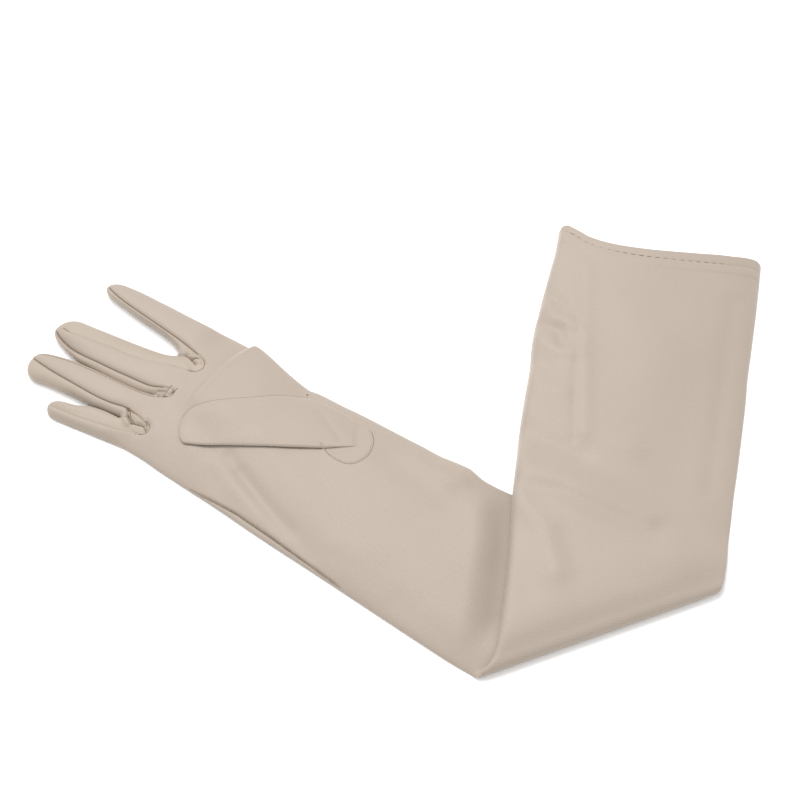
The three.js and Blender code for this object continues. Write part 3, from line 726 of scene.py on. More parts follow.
def fork_profile(seam, knee, top):
    """Row of a fork from its seam over the finger's side and under it: out, across and height."""
    seam, knee = np.array(seam, dtype=float), np.array(knee, dtype=float)
    reach = float(np.hypot(*(knee - seam)))
    toward = (knee - seam) / max(reach, 1e-6)
    corners = ((0, top), (0.7 + 0.3 * reach, top + 0.5), (reach + 0.4, 5.4), (reach, 2.3))
    down = bezier(corners, np.linspace(0, 1, 27))
    below = bezier(((reach, 2.3), (reach - 0.15, 0.9), (reach - 0.8, 0.25), (reach - 2.2, 0.12)),
                   np.linspace(0, 1, 9)[1:])
    away = np.concatenate([[-0.5], down[0], below[0]])
    height = np.concatenate([[top - 0.55], down[1], below[1]])
    return seam[0] + toward[0] * away, seam[1] + toward[1] * away, height


def finger_rows(finger):
    """Distances out of a finger's rows, closer together at the base and round the tip."""
    body = finger["tip"] - finger["round"]
    rows = spaced(0, 12, 0.8) + spaced(12, body, 1.5)
    turn = np.linspace(0, math.pi / 2, 16)
    rows += [body + finger["round"] * math.sin(angle) for angle in turn[:-1]]
    return rows


def tip_share(finger, out):
    """Scale of a finger's section near its rounded tip."""
    over = max(0.0, out - finger["tip"] + finger["round"]) / finger["round"]
    return max(0.0, 1 - min(over, 1.0) ** 2.5) ** 0.46


def rounded_tip(finger, out, across, height):
    """Draws a section in towards the tip's middle."""
    share = tip_share(finger, out)
    middle = finger["middle"]
    end_height = 0.4 * finger["height"]
    return middle + (across - middle) * share, end_height + (height - end_height) * share ** 0.85


def build_finger(lay, finger):
    """Grids of the palm and the back of one finger with its tip, open on the sides that a fork fills."""
    grids = ([], []), ([], [])
    share = np.linspace(1, 0, 15)
    for out in [-1.2, -0.4] + finger_rows(finger) + [finger["tip"]]:
        left = through(finger["low"], out) + (STRIP_TUCK if finger["low_seam"] else 0)
        right = through(finger["high"], out) - (STRIP_TUCK if finger["high_seam"] else 0)
        under = left + (right - left) * share
        depth = np.full(share.shape, FLOOR_GAP)
        for side, inside in (("low", under - left), ("high", right - under)):
            if not finger[f"{side}_seam"]:
                depth += (lay.edge - FLOOR_GAP) * fade(inside, 0.8)
        for (points, uvs), (flat, height) in zip(grids, (finger_top(lay, finger, out), (under, depth))):
            across, height = rounded_tip(finger, out, flat, height)
            points.append(lay.floor(np.full(across.shape, -out), across, height))
            uvs.append(np.stack([flat, np.full(flat.shape, -out)], axis=-1) * MM)
    return [(np.array(points), np.array(uvs)) for points, uvs in grids]


def spread(points, shares):
    """Places along a polyline at shares of its length, and that length."""
    points = np.array(points, dtype=float)
    run = np.concatenate([[0], np.cumsum(np.hypot(*np.diff(points, axis=0).T))])
    return np.stack([np.interp(shares * run[-1], run, points[:, i]) for i in (0, 1)], axis=-1), run[-1]


def fork_half(lay, finger, side, sign, loop):
    """Rows of a fork on one finger's side, from its tip to the crotch, and of half the crotch."""
    rows = []
    bottom_out, bottom_across = loop["bottom"]
    start = bottom_out + 5.0
    outs = [start] + [out for out in finger_rows(finger) if out > start + 0.4] + [finger["tip"]]
    for out in reversed(outs):
        seam, edge = side_line(finger, side, out), through(finger[side], out)
        top = float(crown_of(lay, finger, out)(seam))
        _, across, height = fork_profile((out, seam), (out, edge), top)
        across, height = rounded_tip(finger, out, across, height)
        rows.append((np.full(across.shape, out), across, height))
    seams = [(out, float(side_line(finger, side, out))) for out in np.arange(start, -loop_start(loop), -0.5)]
    for angle in np.linspace(0.08, math.pi / 2, 12):
        along, across = loop_place(loop, angle, sign * loop["half"])
        seams.append((-along, across))
    knees = [(out, float(through(finger[side], out))) for out in np.arange(start, bottom_out + 1.0, -0.4)]
    last = knees[-1][1]
    knees += [(bottom_out + 0.35, last + 0.4 * (bottom_across - last)), (bottom_out, bottom_across)]
    shares = np.linspace(0, 1, 34)
    seams, length = spread(seams, shares)
    knees, _ = spread(knees, 1 - (1 - shares) ** (length / 5.5))
    for (out, across), knee in zip(seams[1:], knees[1:]):
        if out > 0:
            top = float(crown_of(lay, finger, out)(across))
        else:
            top = float(lay.top_of_palm(-out, across) + crotch_dip(-out, across)) - 0.7
        rows.append(fork_profile((out, across), knee, top))
    return rows


def build_fork(lay, index, material):
    """Strip between two fingers: down the side of one, round the crotch and up the side of the next."""
    first, second = FINGERS[index], FINGERS[index + 1]
    loop = CROTCH_LOOPS[index]
    rows = fork_half(lay, first, "low", 1, loop) + fork_half(lay, second, "high", -1, loop)[-2::-1]
    out, across, height = (np.array([row[i] for row in rows]) for i in range(3))
    height = height - creased(index, out, across) * ease(height, 1.0, 4.0)
    points = lay.floor(-out, across, np.maximum(height, FLOOR_GAP))
    run, wide = lengths_along(points[:, 1]), lengths_along(points[20])
    uvs = np.stack(np.broadcast_arrays(wide[None, :], run[:, None]), axis=-1)
    names = [finger["name"].replace("_finger", "") for finger in (first, second)]
    return add_cloth(f"{names[0]}_{names[1]}_fork_strip", [(points, uvs)], FINGER_WALL, material, True)


def creased(index, out, across):
    """Depth of the sharp creases and the crinkles of one fork at its crotch."""
    total = np.zeros(out.shape)
    for start, end, depth, width in FORK_CREASES[index]:
        total += depth * hump(away_from(out, across, start, end), width)
    return total


def thumb_rows():
    """Distances out of the thumb's rows, closer together at its root and round its tip."""
    round_tip = THUMB_TIP - 8.3 * np.cos(np.linspace(0.02, math.pi / 2, 15))
    outs = np.concatenate([[-8.68, -8.6], np.linspace(-8.5, -6, 8)[:-1], np.arange(-6, 20, 0.45),
                           np.arange(20, 30, 0.8), np.arange(30, 78, 1.3), round_tip])
    outs = np.unique(np.round(outs, 4))
    return outs[outs < THUMB_TIP - 0.05]


def build_thumb(lay, material):
    """The thumb: a flattened tube laid over the palm, its cloth ending in the oval seam at its root."""
    points, uvs = [], []
    for out in thumb_rows():
        top, fold, low = (through(table, out) for table in (THUMB_TOP, THUMB_FOLD, OVAL_LOW))
        sewn_in = out < OVAL_END
        rooted = 1 - ease(out, *THUMB_LET_GO)
        lifted = 0.45 * ease(out, -0.8, 2.4) + 0.55 * ease(out, 0, 14)
        tip = ease(THUMB_TIP - out, 0, 4.5)
        # upper cloth, from the top edge down to the fold
        up = top + (fold - top) * uneven(30, 0.35, 0.65)
        along, across = thumb_place(out, up)
        bridged = -0.8 * np.minimum(folds_at(HAND_FOLDS, along, across), 0) * ease(out, 8, 30)
        palm = lay.top_of_palm(along, across) + bridged
        thick = 1.1 + 0.6 * ease(out, 0, 30) * tip
        edge_reach = 5.0 - 3.0 * ease(out, 22, 34)
        soft = (1 - fade(top - up, edge_reach)) * (0.6 + 0.4 * (1 - fade(up - fold, 3.5)))
        crease = -0.35 * hump(away_from(out, up, (24, 30), (8, 4)), 2.0) * ease(out, -4, 4)
        waves = ripple("thumb", out, up) * lifted
        puffed = thick * soft + 0.35 * fade(up - fold, 4.0)
        height = palm + ON_PALM + lifted * puffed + crease + waves * soft
        # cloth turned under the fold, and from there to the oval seam
        sunk = -0.3 * max(0.0, min(fold - low if sewn_in else 4.0, 3.0))
        depth = (top - fold) * (1 - rooted) + rooted * (sunk + 3.9 * lifted)
        inner = fold + depth
        fold_up = np.array([fold - 0.3 * lifted])
        under_up = fold + depth * UNDER_SHARES
        base_up = inner + ((low if sewn_in else inner) - inner) * np.linspace(0, 1, 26)[1:]
        under_palm, base_palm = (lay.top_of_palm(*thumb_place(out, part)) for part in (under_up, base_up))
        edge_rise = height[-1] - palm[-1] - ON_PALM - 0.6 * lifted
        under_height = under_palm + ON_PALM + edge_rise * fade(UNDER_SHARES * abs(depth), 0.7)
        height = np.concatenate([height, [height[-1] - 0.3 * lifted], under_height, base_palm + ON_PALM])
        along, across = thumb_place(out, np.concatenate([up, fold_up, under_up, base_up]))
        points.append(lay.floor(along, across, height - 0.75 * thumb_dip(along, across)))
        flat_up = np.concatenate([up, fold_up, 2 * fold - under_up, base_up])
        uvs.append(np.stack([flat_up, np.full(flat_up.shape, out)], axis=-1) * MM)
    along, across = thumb_place(THUMB_TIP, np.array([through(THUMB_TOP, THUMB_TIP)]))
    height = lay.top_of_palm(along, across) + 0.9
    points.append(np.repeat(lay.floor(along, across, height), len(points[0]), axis=0))
    uvs.append(uvs[-1] + np.array([0, 0.0005]))
    return add_cloth("thumb_cloth", [(np.array(points), np.array(uvs))], THIN_WALL, material)


# Section of the hem from its outer edge to the raw edge inside: distance past the mouth, and distance in
HEM_SECTION = ((-0.1, 0.02), (0.25, 0.0), (0.62, 0.16), (0.8, 0.5), (0.72, 0.86), (0.4, 1.02), (-0.4, 1.05),
               (-3.0, 1.02), (-6.0, 1.12), (-9.0, 1.02), (-12.0, 1.1))


def build_hem(lay, material):
    """The mouth's edge: cloth rolled over it and turned in, with its raw edge inside."""
    points, uvs = [], []
    run = 0.0
    for shift, inset in HEM_SECTION:
        along, across, inside_low, inside_high = sleeve_grid(lay, [(lay.length, 0.0)], shift)
        width = inside_low + inside_high
        squeeze = (width - 2 * inset) / width
        middle = (inside_high - inside_low) / 2 + across
        squeezed = middle + (across - middle) * squeeze
        inside = (inside_low * squeeze, inside_high * squeeze)
        palm, back = (lay.skin(along, squeezed, *inside, face) for face in (1, -1))
        room = (back[..., 2] - palm[..., 2]) / 2 / MM
        lift = np.maximum(np.minimum(inset, room - 0.02 - 0.1 * inset) * MM, 0)
        palm[..., 2] += lift
        back[..., 2] -= lift
        ring = np.concatenate([palm, back[:, -2:0:-1]], axis=1)[0]
        ring[:, 2] = np.maximum(ring[:, 2], LOWEST_HEM * MM)
        points.append(ring)
        run += 0.6
        row = opened_out(across)[0]
        uvs.append(np.stack([row, np.full(row.shape, lay.length + run)], axis=-1) * MM)
    return add_cloth("mouth_hem_cloth", [(np.array(points), np.array(uvs))], THIN_WALL, material, True)


def add_threads(name, places, material):
    """Short stitches: each is a flattened thread between two points that dips at its ends."""
    vertices, faces = [], []
    sides, parts = 6, 5
    for start, end, normal, thick in places:
        start, end, normal = Vector(start), Vector(end), Vector(normal).normalized()
        forward = (end - start).normalized()
        side = normal.cross(forward).normalized()
        base = len(vertices)
        for i in range(parts + 1):
            share = i / parts
            centre = start.lerp(end, share) + normal * thick * (0.55 * math.sin(math.pi * share) - 0.15)
            radius = thick * (0.35 + 0.65 * math.sin(math.pi * min(max(share, 0.08), 0.92)) ** 0.5)
            for j in range(sides):
                angle = math.tau * j / sides
                beside = centre + side * radius * math.cos(angle)
                vertices.append(beside + normal * radius * 0.6 * math.sin(angle))
        for i in range(parts):
            for j in range(sides):
                a, b = base + i * sides + j, base + i * sides + (j + 1) % sides
                faces.append((a, b, b + sides, a + sides))
        faces.append(tuple(base + j for j in reversed(range(sides))))
        faces.append(tuple(base + parts * sides + j for j in range(sides)))
    corners = [vertices[corner].xy for face in faces for corner in face]
    return add_piece(name, [tuple(point) for point in vertices], faces, corners, 0, material)


def resting(points, pieces, sunk):
    """Lowers points onto the highest of the pieces below them; sunk is in millimetres."""
    found = []
    for point in points:
        start = Vector((point[0], point[1], 0.05))
        hits = [piece.ray_cast(start, (0, 0, -1)) for piece in pieces]
        tops = [hit[1].z for hit in hits if hit[0]]
        found.append(Vector((point[0], point[1], (max(tops) if tops else point[2]) - sunk * MM)))
    return found


def thread_line(lay, pieces, flat, kind, gap=0.06):
    """Stitches of one kind end to end along a line of flat places, laid on the pieces."""
    thick, sunk = STITCHES[kind]
    alongs, acrosses = (np.array(column, dtype=float) for column in zip(*flat))
    points = resting(lay.floor(alongs, acrosses, 0 * alongs), pieces, sunk)
    return [(start, start.lerp(end, 1 - gap), UP, thick * MM) for start, end in zip(points[:-1], points[1:])]


def finely(points, step):
    """Places along a polyline at about equal steps."""
    count = max(2, round(spread(points, np.array([0.0]))[1] / step) + 1)
    return spread(points, np.linspace(0, 1, count))[0]


def hem_stitch_places(lay, pieces):
    """Where the dashes of the hem's stitch line lie, on both faces of the mouth."""
    places = []
    thick, sunk = STITCHES["hem"]
    for face in (-1, 1):
        for i in range(25):
            centre = -51.0 + i * 4.25
            across = np.array([centre - 1.6, centre + 1.6])
            back = stitch_depth(across)
            along = lay.length - back + through(MOUTH_CUT, across / MOUTH_HALF)
            low, high = lay.edge_at(along, -1), lay.edge_at(along, 1)
            ends = lay.skin(along, across, across - low, high - across, face)
            if face < 0:
                ends = resting(ends, pieces, sunk)
            places.append((ends[0], ends[1], (0, 0, -face), thick * MM))
    return places


def stitch_depth(across):
    """Distance of the hem's stitch line from the mouth's edge."""
    return STITCH_LINE + 0.022 * np.asarray(across, dtype=float)


def oval_stitch_places(lay, pieces):
    """Small stitches along the oval seam of the thumb, and a thin dark thread along its upper edge that is partly
    its seam and partly painted shade of the contact line there.
    """
    shown = [place for place in finely(oval_line(), 1.15)[2:] if place[1] < 34.3]
    # Thin dark thread along the thumb's upper edge: partly its seam, partly painted shade of the contact line
    edge = [thumb_place(out, through(THUMB_TOP, out) + 0.05) for out in np.arange(25.0, 85.8, 1.4)]
    edge = [(float(along), float(across)) for along, across in edge]
    return thread_line(lay, pieces, shown, "oval", 0.16) + thread_line(lay, pieces, edge, "thumb")


def finger_seam_places(lay, pieces):
    """Stitches that show in the grooves of the finger seams, of the crotch loops and of the side seam, whose dark
    thread also stands for painted shadow under the lip, and dark thread lines of painted shade in the crotch
    creases.
    """
    places = []
    for finger in FINGERS:
        for side in ("low", "high"):
            if not finger[f"{side}_seam"]:
                continue
            faint = side == "high" and finger["name"] != "ring_finger"
            flat = []
            for out in np.arange(5.0, finger["tip"] - 0.7, 1.2):
                across, _ = rounded_tip(finger, out, side_line(finger, side, out), 0.0)
                flat.append((-out, float(across) + (0.1 if side == "low" else -0.1)))
            places += thread_line(lay, pieces, flat, "faint" if faint else "finger")
    for loop in CROTCH_LOOPS:
        flat = [loop_place(loop, angle, loop["half"] + 0.1) for angle in np.linspace(0.1, math.pi - 0.1, 16)]
        places += thread_line(lay, pieces, flat, "loop")
    # Side seam thread along the lip: partly the seam, partly painted shadow under the lip's edge
    side_seam_and_lip_shadow = [(along, lay.edge_at(along, -1) + through(LIP_LINE, along) - 0.15)
                 for along in np.arange(42, 134, 1.5)]
    places += thread_line(lay, pieces, side_seam_and_lip_shadow, "side")
    # Dark thread lines in the crotch creases: painted shade of the creases
    for line in CREASE_SHADE_LINES:
        places += thread_line(lay, pieces, finely(line, 0.8), "crease")
    return places


def knot_places(lay):
    """The few loops of thread that fasten the thumb's seam at the edge of the hand."""
    places = []
    for along, across, turn, length in KNOT:
        half = 0.5 * length
        turn = math.radians(turn)
        a = np.array([along - half * math.cos(turn), along + half * math.cos(turn)])
        b = np.array([across - half * math.sin(turn), across + half * math.sin(turn)])
        ends = lay.floor(a, b, lay.top_of_palm(a, b) + 0.45)
        places.append((ends[0], ends[1], UP, 0.2 * MM))
    return places


def gather_places(lay):
    """The short gathers that close the crotch between the middle and the ring finger."""
    places = []
    for start, end, half in GATHERS:
        a, b = (np.array(pair, dtype=float) for pair in zip(start, end))
        ends = lay.floor(a, b, lay.top_of_palm(a, b) + crotch_dip(a, b) - 0.35 * half)
        places.append((ends[0], ends[1], UP, half * MM))
    return places


# ---------------------------------------------------------------- materials

def wire(tree, socket, value):
    """Links a socket, or gives it a plain value."""
    if isinstance(value, bpy.types.NodeSocket):
        tree.links.new(value, socket)
    else:
        socket.default_value = value


def add_node(tree, kind, **values):
    """A node whose inputs are linked or set; a name's underscores stand for spaces."""
    node = tree.nodes.new("ShaderNode" + kind)
    for name, value in values.items():
        wire(tree, node.inputs[name.replace("_", " ")], value)
    return node


def math_node(tree, operation, first, second=0.0):
    node = tree.nodes.new("ShaderNodeMath")
    node.operation = operation
    wire(tree, node.inputs[0], first)
    wire(tree, node.inputs[1], second)
    return node.outputs[0]


def mix_colour(tree, factor, first, second):
    node = tree.nodes.new("ShaderNodeMix")
    node.data_type = "RGBA"
    for index, value in ((0, factor), (6, first), (7, second)):
        wire(tree, node.inputs[index], value)
    return node.outputs[2]


def satin_weave_group():
    """Fine diagonal twill with slubs: colour, roughness and height from the cloth's own flat places."""
    tree = bpy.data.node_groups.new("satin_weave", "ShaderNodeTree")
    for way, name, kind in (
        ("INPUT", "Flat", "Vector"), ("INPUT", "Colour", "Color"), ("INPUT", "Deep Colour", "Color"),
        ("INPUT", "Rib Pitch", "Float"), ("INPUT", "Contrast", "Float"), ("OUTPUT", "Colour", "Color"),
        ("OUTPUT", "Roughness", "Float"), ("OUTPUT", "Height", "Float"),
    ):
        tree.interface.new_socket(name, in_out=way, socket_type="NodeSocket" + kind)
    given = tree.nodes.new("NodeGroupInput").outputs
    results = tree.nodes.new("NodeGroupOutput").inputs

    def add(first, second):
        return math_node(tree, "ADD", first, second)

    def times(first, second):
        return math_node(tree, "MULTIPLY", first, second)

    def from_half(value):
        return math_node(tree, "SUBTRACT", value, 0.5)

    def noise(place, scale, detail):
        return add_node(tree, "TexNoise", Vector=place, Scale=scale, Detail=detail).outputs[0]

    def wave(place, rate):
        return math_node(tree, "SINE", times(math_node(tree, "DIVIDE", place, given["Rib Pitch"]), rate))

    flat = given["Flat"]
    split = add_node(tree, "SeparateXYZ", Vector=flat)
    u, v = split.outputs[0], split.outputs[1]
    # ribs that run steeply across the sleeve and waver a little, and finer yarns along them
    wobble = times(noise(flat, 160.0, 2.0), 0.0007)
    rib = wave(add(add(v, times(u, 0.32)), wobble), math.tau)
    yarn = wave(math_node(tree, "SUBTRACT", u, times(v, 0.5)), math.tau * 1.35)
    weave = add(add(times(rib, 0.34), times(yarn, 0.16)), 0.5)
    slub = noise(add_node(tree, "Mapping", Vector=flat, Scale=(0.35, 1.0, 1.0)).outputs[0], 1500.0, 3.0)
    patch = times(from_half(noise(flat, 16.0, 3.0)), 0.5)
    grain = times(from_half(slub), 0.6)
    factor = add(add(times(from_half(weave), given["Contrast"]), grain), add(patch, 0.5))
    light = add_node(tree, "Clamp", Value=factor).outputs[0]
    wire(tree, results["Colour"], mix_colour(tree, light, given["Deep Colour"], given["Colour"]))
    wire(tree, results["Roughness"], add(times(light, -0.1), 0.56))
    wire(tree, results["Height"], add(weave, times(slub, 0.6)))
    return tree


def new_material(name, **values):
    """A material whose shader inputs are set; a name's underscores stand for spaces."""
    material = bpy.data.materials.new(name)
    material.use_nodes = True
    tree = material.node_tree
    shader = tree.nodes["Principled BSDF"]
    for key, value in values.items():
        shader.inputs[key.replace("_", " ")].default_value = value
    return material, tree, shader


def satin_material(name, light, deep, pitch, contrast):
    """Satin cloth whose weave follows the piece's own flat pattern."""
    material, tree, shader = new_material(name, Specular_IOR_Level=0.38, Sheen_Weight=0.22, Sheen_Roughness=0.45,
                                          Sheen_Tint=(1.0, 0.96, 0.9, 1))
    flat = tree.nodes.new("ShaderNodeUVMap")
    flat.uv_map = "cloth"
    weave = tree.nodes.new("ShaderNodeGroup")
    weave.node_tree = bpy.data.node_groups.get("satin_weave") or satin_weave_group()
    for key, value in (("Flat", flat.outputs[0]), ("Colour", (*light, 1)), ("Deep Colour", (*deep, 1)),
                       ("Rib Pitch", pitch), ("Contrast", contrast)):
        wire(tree, weave.inputs[key], value)
    bump = add_node(tree, "Bump", Strength=0.16, Distance=0.00012, Height=weave.outputs["Height"])
    wire(tree, shader.inputs["Normal"], bump.outputs[0])
    wire(tree, shader.inputs["Base Color"], weave.outputs["Colour"])
    wire(tree, shader.inputs["Roughness"], weave.outputs["Roughness"])
    return material


def thread_material(context):
    """Sewing thread with its twist; its colour is darkened so that it also carries painted shade of the seam
    grooves it lies in.
    """
    found = bpy.data.materials.get("thread_darkened_with_seam_shade")
    if found:
        return found
    material, tree, shader = new_material("thread_darkened_with_seam_shade", Roughness=0.6)
    place = tree.nodes.new("ShaderNodeTexCoord").outputs["Object"]
    twist = add_node(tree, "TexWave", Vector=place, Scale=900.0, Distortion=1.5)
    colour = context.scene.glove_colours.thread
    dark = (0.72 * part for part in colour)
    shade = mix_colour(tree, twist.outputs["Fac"], (*dark, 1), (*colour, 1))
    wire(tree, shader.inputs["Base Color"], shade)
    return material


def cloth_material(context, fork=False):
    """The satin of the glove, or of its forks, from the colours in the panel; the forks' copy is the same satin
    painted a little lighter, to offset the shade on their steep sides.
    """
    name = "fork_strip_satin_painted_lighter" if fork else "glove_satin"
    found = bpy.data.materials.get(name)
    if found:
        return found
    colours = context.scene.glove_colours
    light = colours.fork_light_painted_lighter if fork else colours.satin_light
    deep = colours.fork_deep_painted_lighter if fork else colours.satin_deep
    return satin_material(name, light, deep, colours.rib_pitch, RIB_CONTRAST)


# ---------------------------------------------------------------- settings

LENGTH = {"unit": "LENGTH", "precision": 5}
COLOUR = {"subtype": "COLOR", "min": 0, "max": 1}


class GloveSizes(bpy.types.PropertyGroup):
    sleeve_length: bpy.props.FloatProperty(
        name="Sleeve length", description="Knuckle line to mouth on the flat glove",
        default=0.478, **LENGTH)
    elbow_distance: bpy.props.FloatProperty(
        name="Elbow distance", description="Knuckle line to the elbow fold on the flat glove",
        default=0.2373, **LENGTH)
    elbow_slant: bpy.props.FloatProperty(
        name="Elbow slant", description="Slant of the elbow fold across the sleeve",
        default=math.radians(33.8), subtype="ANGLE")
    arm_turn: bpy.props.FloatProperty(
        name="Arm turn", description="How the forearm is turned on the floor",
        default=math.radians(-34.7), subtype="ANGLE")
    fold_radius: bpy.props.FloatProperty(
        name="Fold radius", description="Radius of the elbow fold at the middle of the cloth",
        default=0.00275, **LENGTH)
    under_depth: bpy.props.FloatProperty(
        name="Under depth", description="Middle of the cloth tube above the floor",
        default=0.0024, **LENGTH)
    palm_loft: bpy.props.FloatProperty(
        name="Palm loft", description="Rise of the upper cloth of the hand above the middle",
        default=0.0050, **LENGTH)
    mouth_loft: bpy.props.FloatProperty(
        name="Mouth loft", description="Rise of the upper cloth at the mouth above the middle",
        default=0.0076, **LENGTH)
    edge_height: bpy.props.FloatProperty(
        name="Edge height", description="Height of the folded side edges above the floor",
        default=0.0009, **LENGTH)
    tucked_depth: bpy.props.FloatProperty(
        name="Tucked depth", description="How far the forearm's upper cloth sinks where it goes under the arm",
        default=0.0026, **LENGTH)
    web_rise: bpy.props.FloatProperty(
        name="Web rise", description="Rise of the web of the thumb above the palm",
        default=0.0026, **LENGTH)
    origin_x: bpy.props.FloatProperty(
        name="Knuckle place X", description="Middle of the knuckle line from the glove's origin",
        default=-0.11369, **LENGTH)
    origin_y: bpy.props.FloatProperty(
        name="Knuckle place Y", description="Middle of the knuckle line from the glove's origin",
        default=0.022536, **LENGTH)


class GloveColours(bpy.types.PropertyGroup):
    satin_light: bpy.props.FloatVectorProperty(
        name="Satin", description="Satin where its ribs catch the light",
        default=(0.382, 0.325, 0.275), **COLOUR)
    satin_deep: bpy.props.FloatVectorProperty(
        name="Satin, deep", description="Satin between its ribs",
        default=(0.306, 0.250, 0.199), **COLOUR)
    # Fork strips: the glove's satin painted a little lighter, to offset the shade on their steep sides
    fork_light_painted_lighter: bpy.props.FloatVectorProperty(
        name="Fork satin", description="Fork strips where they catch the light",
        default=(0.392, 0.33, 0.275), **COLOUR)
    fork_deep_painted_lighter: bpy.props.FloatVectorProperty(
        name="Fork satin, deep", description="Fork strips between their ribs",
        default=(0.318, 0.257, 0.202), **COLOUR)
    # Thread colour: the thread's own brown, darkened to carry painted shade of the seam grooves
    thread: bpy.props.FloatVectorProperty(
        name="Thread", description="Sewing thread",
        default=(0.17, 0.095, 0.04), **COLOUR)
    rib_pitch: bpy.props.FloatProperty(
        name="Rib pitch", description="Distance between two ribs of the twill",
        default=0.00095, **LENGTH)


class StudioSettings(bpy.types.PropertyGroup):
    floor_colour: bpy.props.FloatVectorProperty(
        name="Floor", description="Colour of the floor", default=(0.96, 0.96, 0.96), **COLOUR)
    lens: bpy.props.FloatProperty(name="Lens", description="Focal length in mm", default=67.5)
    distance: bpy.props.FloatProperty(
        name="Camera distance", description="Camera to the middle of the picture", default=0.75, unit="LENGTH")
    elevation: bpy.props.FloatProperty(
        name="Camera elevation", description="Camera above the floor", default=math.radians(52), subtype="ANGLE")
    target_x: bpy.props.FloatProperty(
        name="Target X", description="Middle of the picture on the floor", default=-0.00208, unit="LENGTH")
    target_y: bpy.props.FloatProperty(
        name="Target Y", description="Middle of the picture on the floor", default=0.0204, unit="LENGTH")
    sky: bpy.props.FloatProperty(name="Fill light", description="Strength of the even light", default=1.0)
    key: bpy.props.FloatProperty(name="Main light", description="Power of the large soft light", default=145.0)


CLOTHS_OF_HAND = ("sleeve_cloth", "index_finger_cloth", "middle_finger_cloth", "ring_finger_cloth",
                  "little_finger_cloth", "index_middle_fork_strip", "middle_ring_fork_strip",
                  "ring_little_fork_strip", "middle_ring_gather")


def lay_of(context):
    return Lay(context.scene.glove_sizes)


# ---------------------------------------------------------------- operators

class GLOVE_OT_sleeve(bpy.types.Operator):
    """Adds the hand and sleeve, folded at the elbow"""
    bl_idname = "glove.add_sleeve"
    bl_label = "Hand and sleeve"

    def execute(self, context):
        piece = build_sleeve(lay_of(context), cloth_material(context))
        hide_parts("hand_and_sleeve")
        return {"FINISHED"}


class GLOVE_OT_fingers(bpy.types.Operator):
    """Adds the palm and back of the four fingers"""
    bl_idname = "glove.add_fingers"
    bl_label = "Fingers"

    def execute(self, context):
        lay, satin = lay_of(context), cloth_material(context)
        for finger in FINGERS:
            piece = add_cloth(f"{finger['name']}_cloth", build_finger(lay, finger), FINGER_WALL, satin, True)
            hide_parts(finger["name"])
        return {"FINISHED"}


class GLOVE_OT_forks(bpy.types.Operator):
    """Adds the strips between the fingers"""
    bl_idname = "glove.add_forks"
    bl_label = "Forks"

    def execute(self, context):
        lay = lay_of(context)
        for index, node in enumerate(("index_middle_fork", "middle_ring_fork", "ring_little_fork")):
            piece = build_fork(lay, index, cloth_material(context, True))
            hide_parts(node)
            if node == "middle_ring_fork":
                satin = cloth_material(context)
                add_threads("middle_ring_gather", gather_places(lay), satin)
        cloths = [bpy.data.objects[name] for name in CLOTHS_OF_HAND]
        seams = add_threads("finger_seam_stitches_and_painted_shade", finger_seam_places(lay, cloths),
                            thread_material(context))
        return {"FINISHED"}


class GLOVE_OT_thumb(bpy.types.Operator):
    """Adds the thumb, laid over the palm"""
    bl_idname = "glove.add_thumb"
    bl_label = "Thumb"

    def execute(self, context):
        lay = lay_of(context)
        piece = build_thumb(lay, cloth_material(context))
        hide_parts("thumb")
        thread = thread_material(context)
        seam = oval_stitch_places(lay, [piece, bpy.data.objects["sleeve_cloth"]])
        for name, places in (("thumb_seam_stitches_and_painted_edge_shade", seam), ("thumb_knot", knot_places(lay))):
            add_threads(name, places, thread)
        return {"FINISHED"}


class GLOVE_OT_hem(bpy.types.Operator):
    """Adds the hem at the mouth and its stitches"""
    bl_idname = "glove.add_hem"
    bl_label = "Hem and stitches"

    def execute(self, context):
        lay = lay_of(context)
        piece = build_hem(lay, cloth_material(context))
        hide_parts("mouth_hem")
        thread = thread_material(context)
        cloths = [piece, bpy.data.objects["sleeve_cloth"]]
        stitches = add_threads("hem_stitches", hem_stitch_places(lay, cloths), thread)
        return {"FINISHED"}


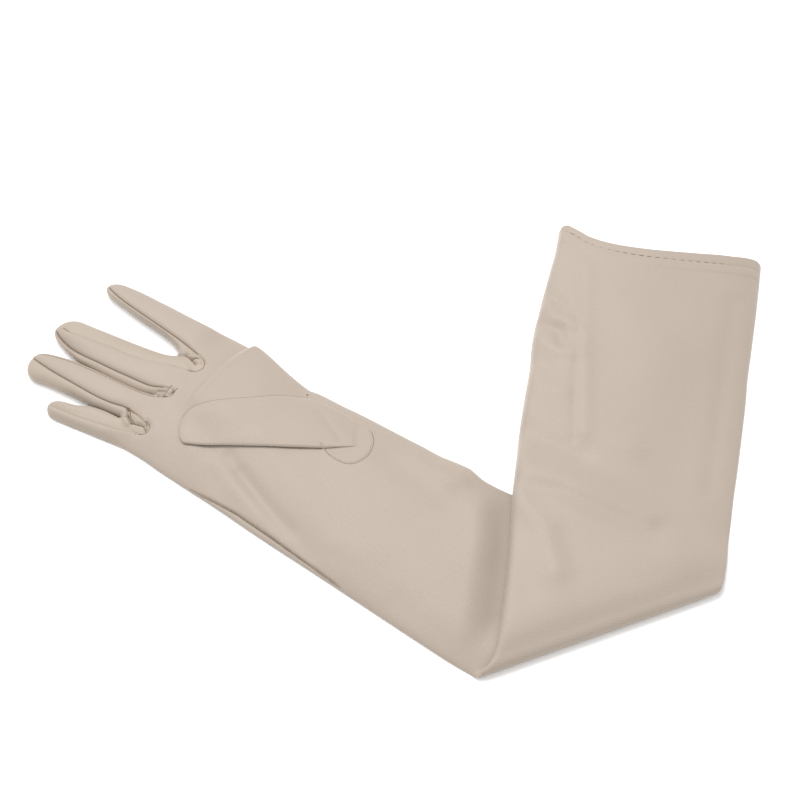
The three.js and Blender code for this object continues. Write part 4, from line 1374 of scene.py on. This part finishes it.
class GLOVE_OT_stage(bpy.types.Operator):
    """Adds the floor, the soft lights and the camera"""
    bl_idname = "glove.add_stage"
    bl_label = "Stage"

    def execute(self, context):
        studio = context.scene.glove_studio
        bpy.ops.object.select_all(action="DESELECT")
        bpy.ops.mesh.primitive_plane_add(size=8, location=(0, 0, 0))
        ground = context.object
        ground.name = "floor"
        paper, _, _ = new_material("pale_floor", Base_Color=(*studio.floor_colour, 1), Roughness=0.9,
                                   Specular_IOR_Level=0.1)
        ground.data.materials.append(paper)
        world = bpy.data.worlds.new("studio")
        context.scene.world = world
        world.use_nodes = True
        world.node_tree.nodes["Background"].inputs["Color"].default_value = (1.0, 1.0, 1.0, 1)
        world.node_tree.nodes["Background"].inputs["Strength"].default_value = studio.sky
        for name, place, size, power in (
            ("main_light", (-0.6, 2.2, 4.2), 2.4, studio.key),
            ("side_light", (-1.9, 0.6, 1.7), 1.2, 0.05 * studio.key),
        ):
            bpy.ops.object.light_add(type="AREA", location=place)
            lamp = context.object
            lamp.name = name
            lamp.data.size = size
            lamp.data.energy = power
            lamp.rotation_euler = (Vector((0, 0, 0)) - Vector(place)).to_track_quat("-Z", "Y").to_euler()
        bpy.ops.object.camera_add()
        camera = context.object
        camera.name = "photo_view"
        target = Vector((studio.target_x, studio.target_y, 0))
        tall, near = math.sin(studio.elevation), math.cos(studio.elevation)
        camera.location = target + Vector((0, -near, tall)) * studio.distance
        camera.rotation_euler = (target - camera.location).to_track_quat("-Z", "Y").to_euler()
        camera.data.lens = studio.lens
        camera.data.sensor_width = 36
        context.scene.camera = camera
        context.scene.view_settings.view_transform = "Standard"
        return {"FINISHED"}


class GLOVE_PT_panel(bpy.types.Panel):
    """Lists the steps that build the glove"""
    bl_idname = "GLOVE_PT_panel"
    bl_label = "Evening glove"
    bl_space_type = "VIEW_3D"
    bl_region_type = "UI"
    bl_category = "Glove"

    def draw(self, context):
        for step in STEPS:
            self.layout.operator(step.bl_idname)
        for group in (context.scene.glove_sizes, context.scene.glove_colours, context.scene.glove_studio):
            box = self.layout.box()
            for name in group.__annotations__:
                box.prop(group, name)


STEPS = (GLOVE_OT_sleeve, GLOVE_OT_fingers, GLOVE_OT_forks, GLOVE_OT_thumb, GLOVE_OT_hem, GLOVE_OT_stage)
GROUPS = {"glove_sizes": GloveSizes, "glove_colours": GloveColours, "glove_studio": StudioSettings}


def register():
    for cls in (*GROUPS.values(), *STEPS, GLOVE_PT_panel):
        bpy.utils.register_class(cls)
    for name, cls in GROUPS.items():
        setattr(bpy.types.Scene, name, bpy.props.PointerProperty(type=cls))


def unregister():
    for name in GROUPS:
        delattr(bpy.types.Scene, name)
    for cls in reversed((*GROUPS.values(), *STEPS, GLOVE_PT_panel)):
        bpy.utils.unregister_class(cls)


def main():
    register()
    bpy.ops.glove.add_sleeve()
    bpy.ops.glove.add_fingers()
    bpy.ops.glove.add_forks()
    bpy.ops.glove.add_thumb()
    bpy.ops.glove.add_hem()
    bpy.ops.glove.add_stage()


if __name__ == "__main__":
    main()
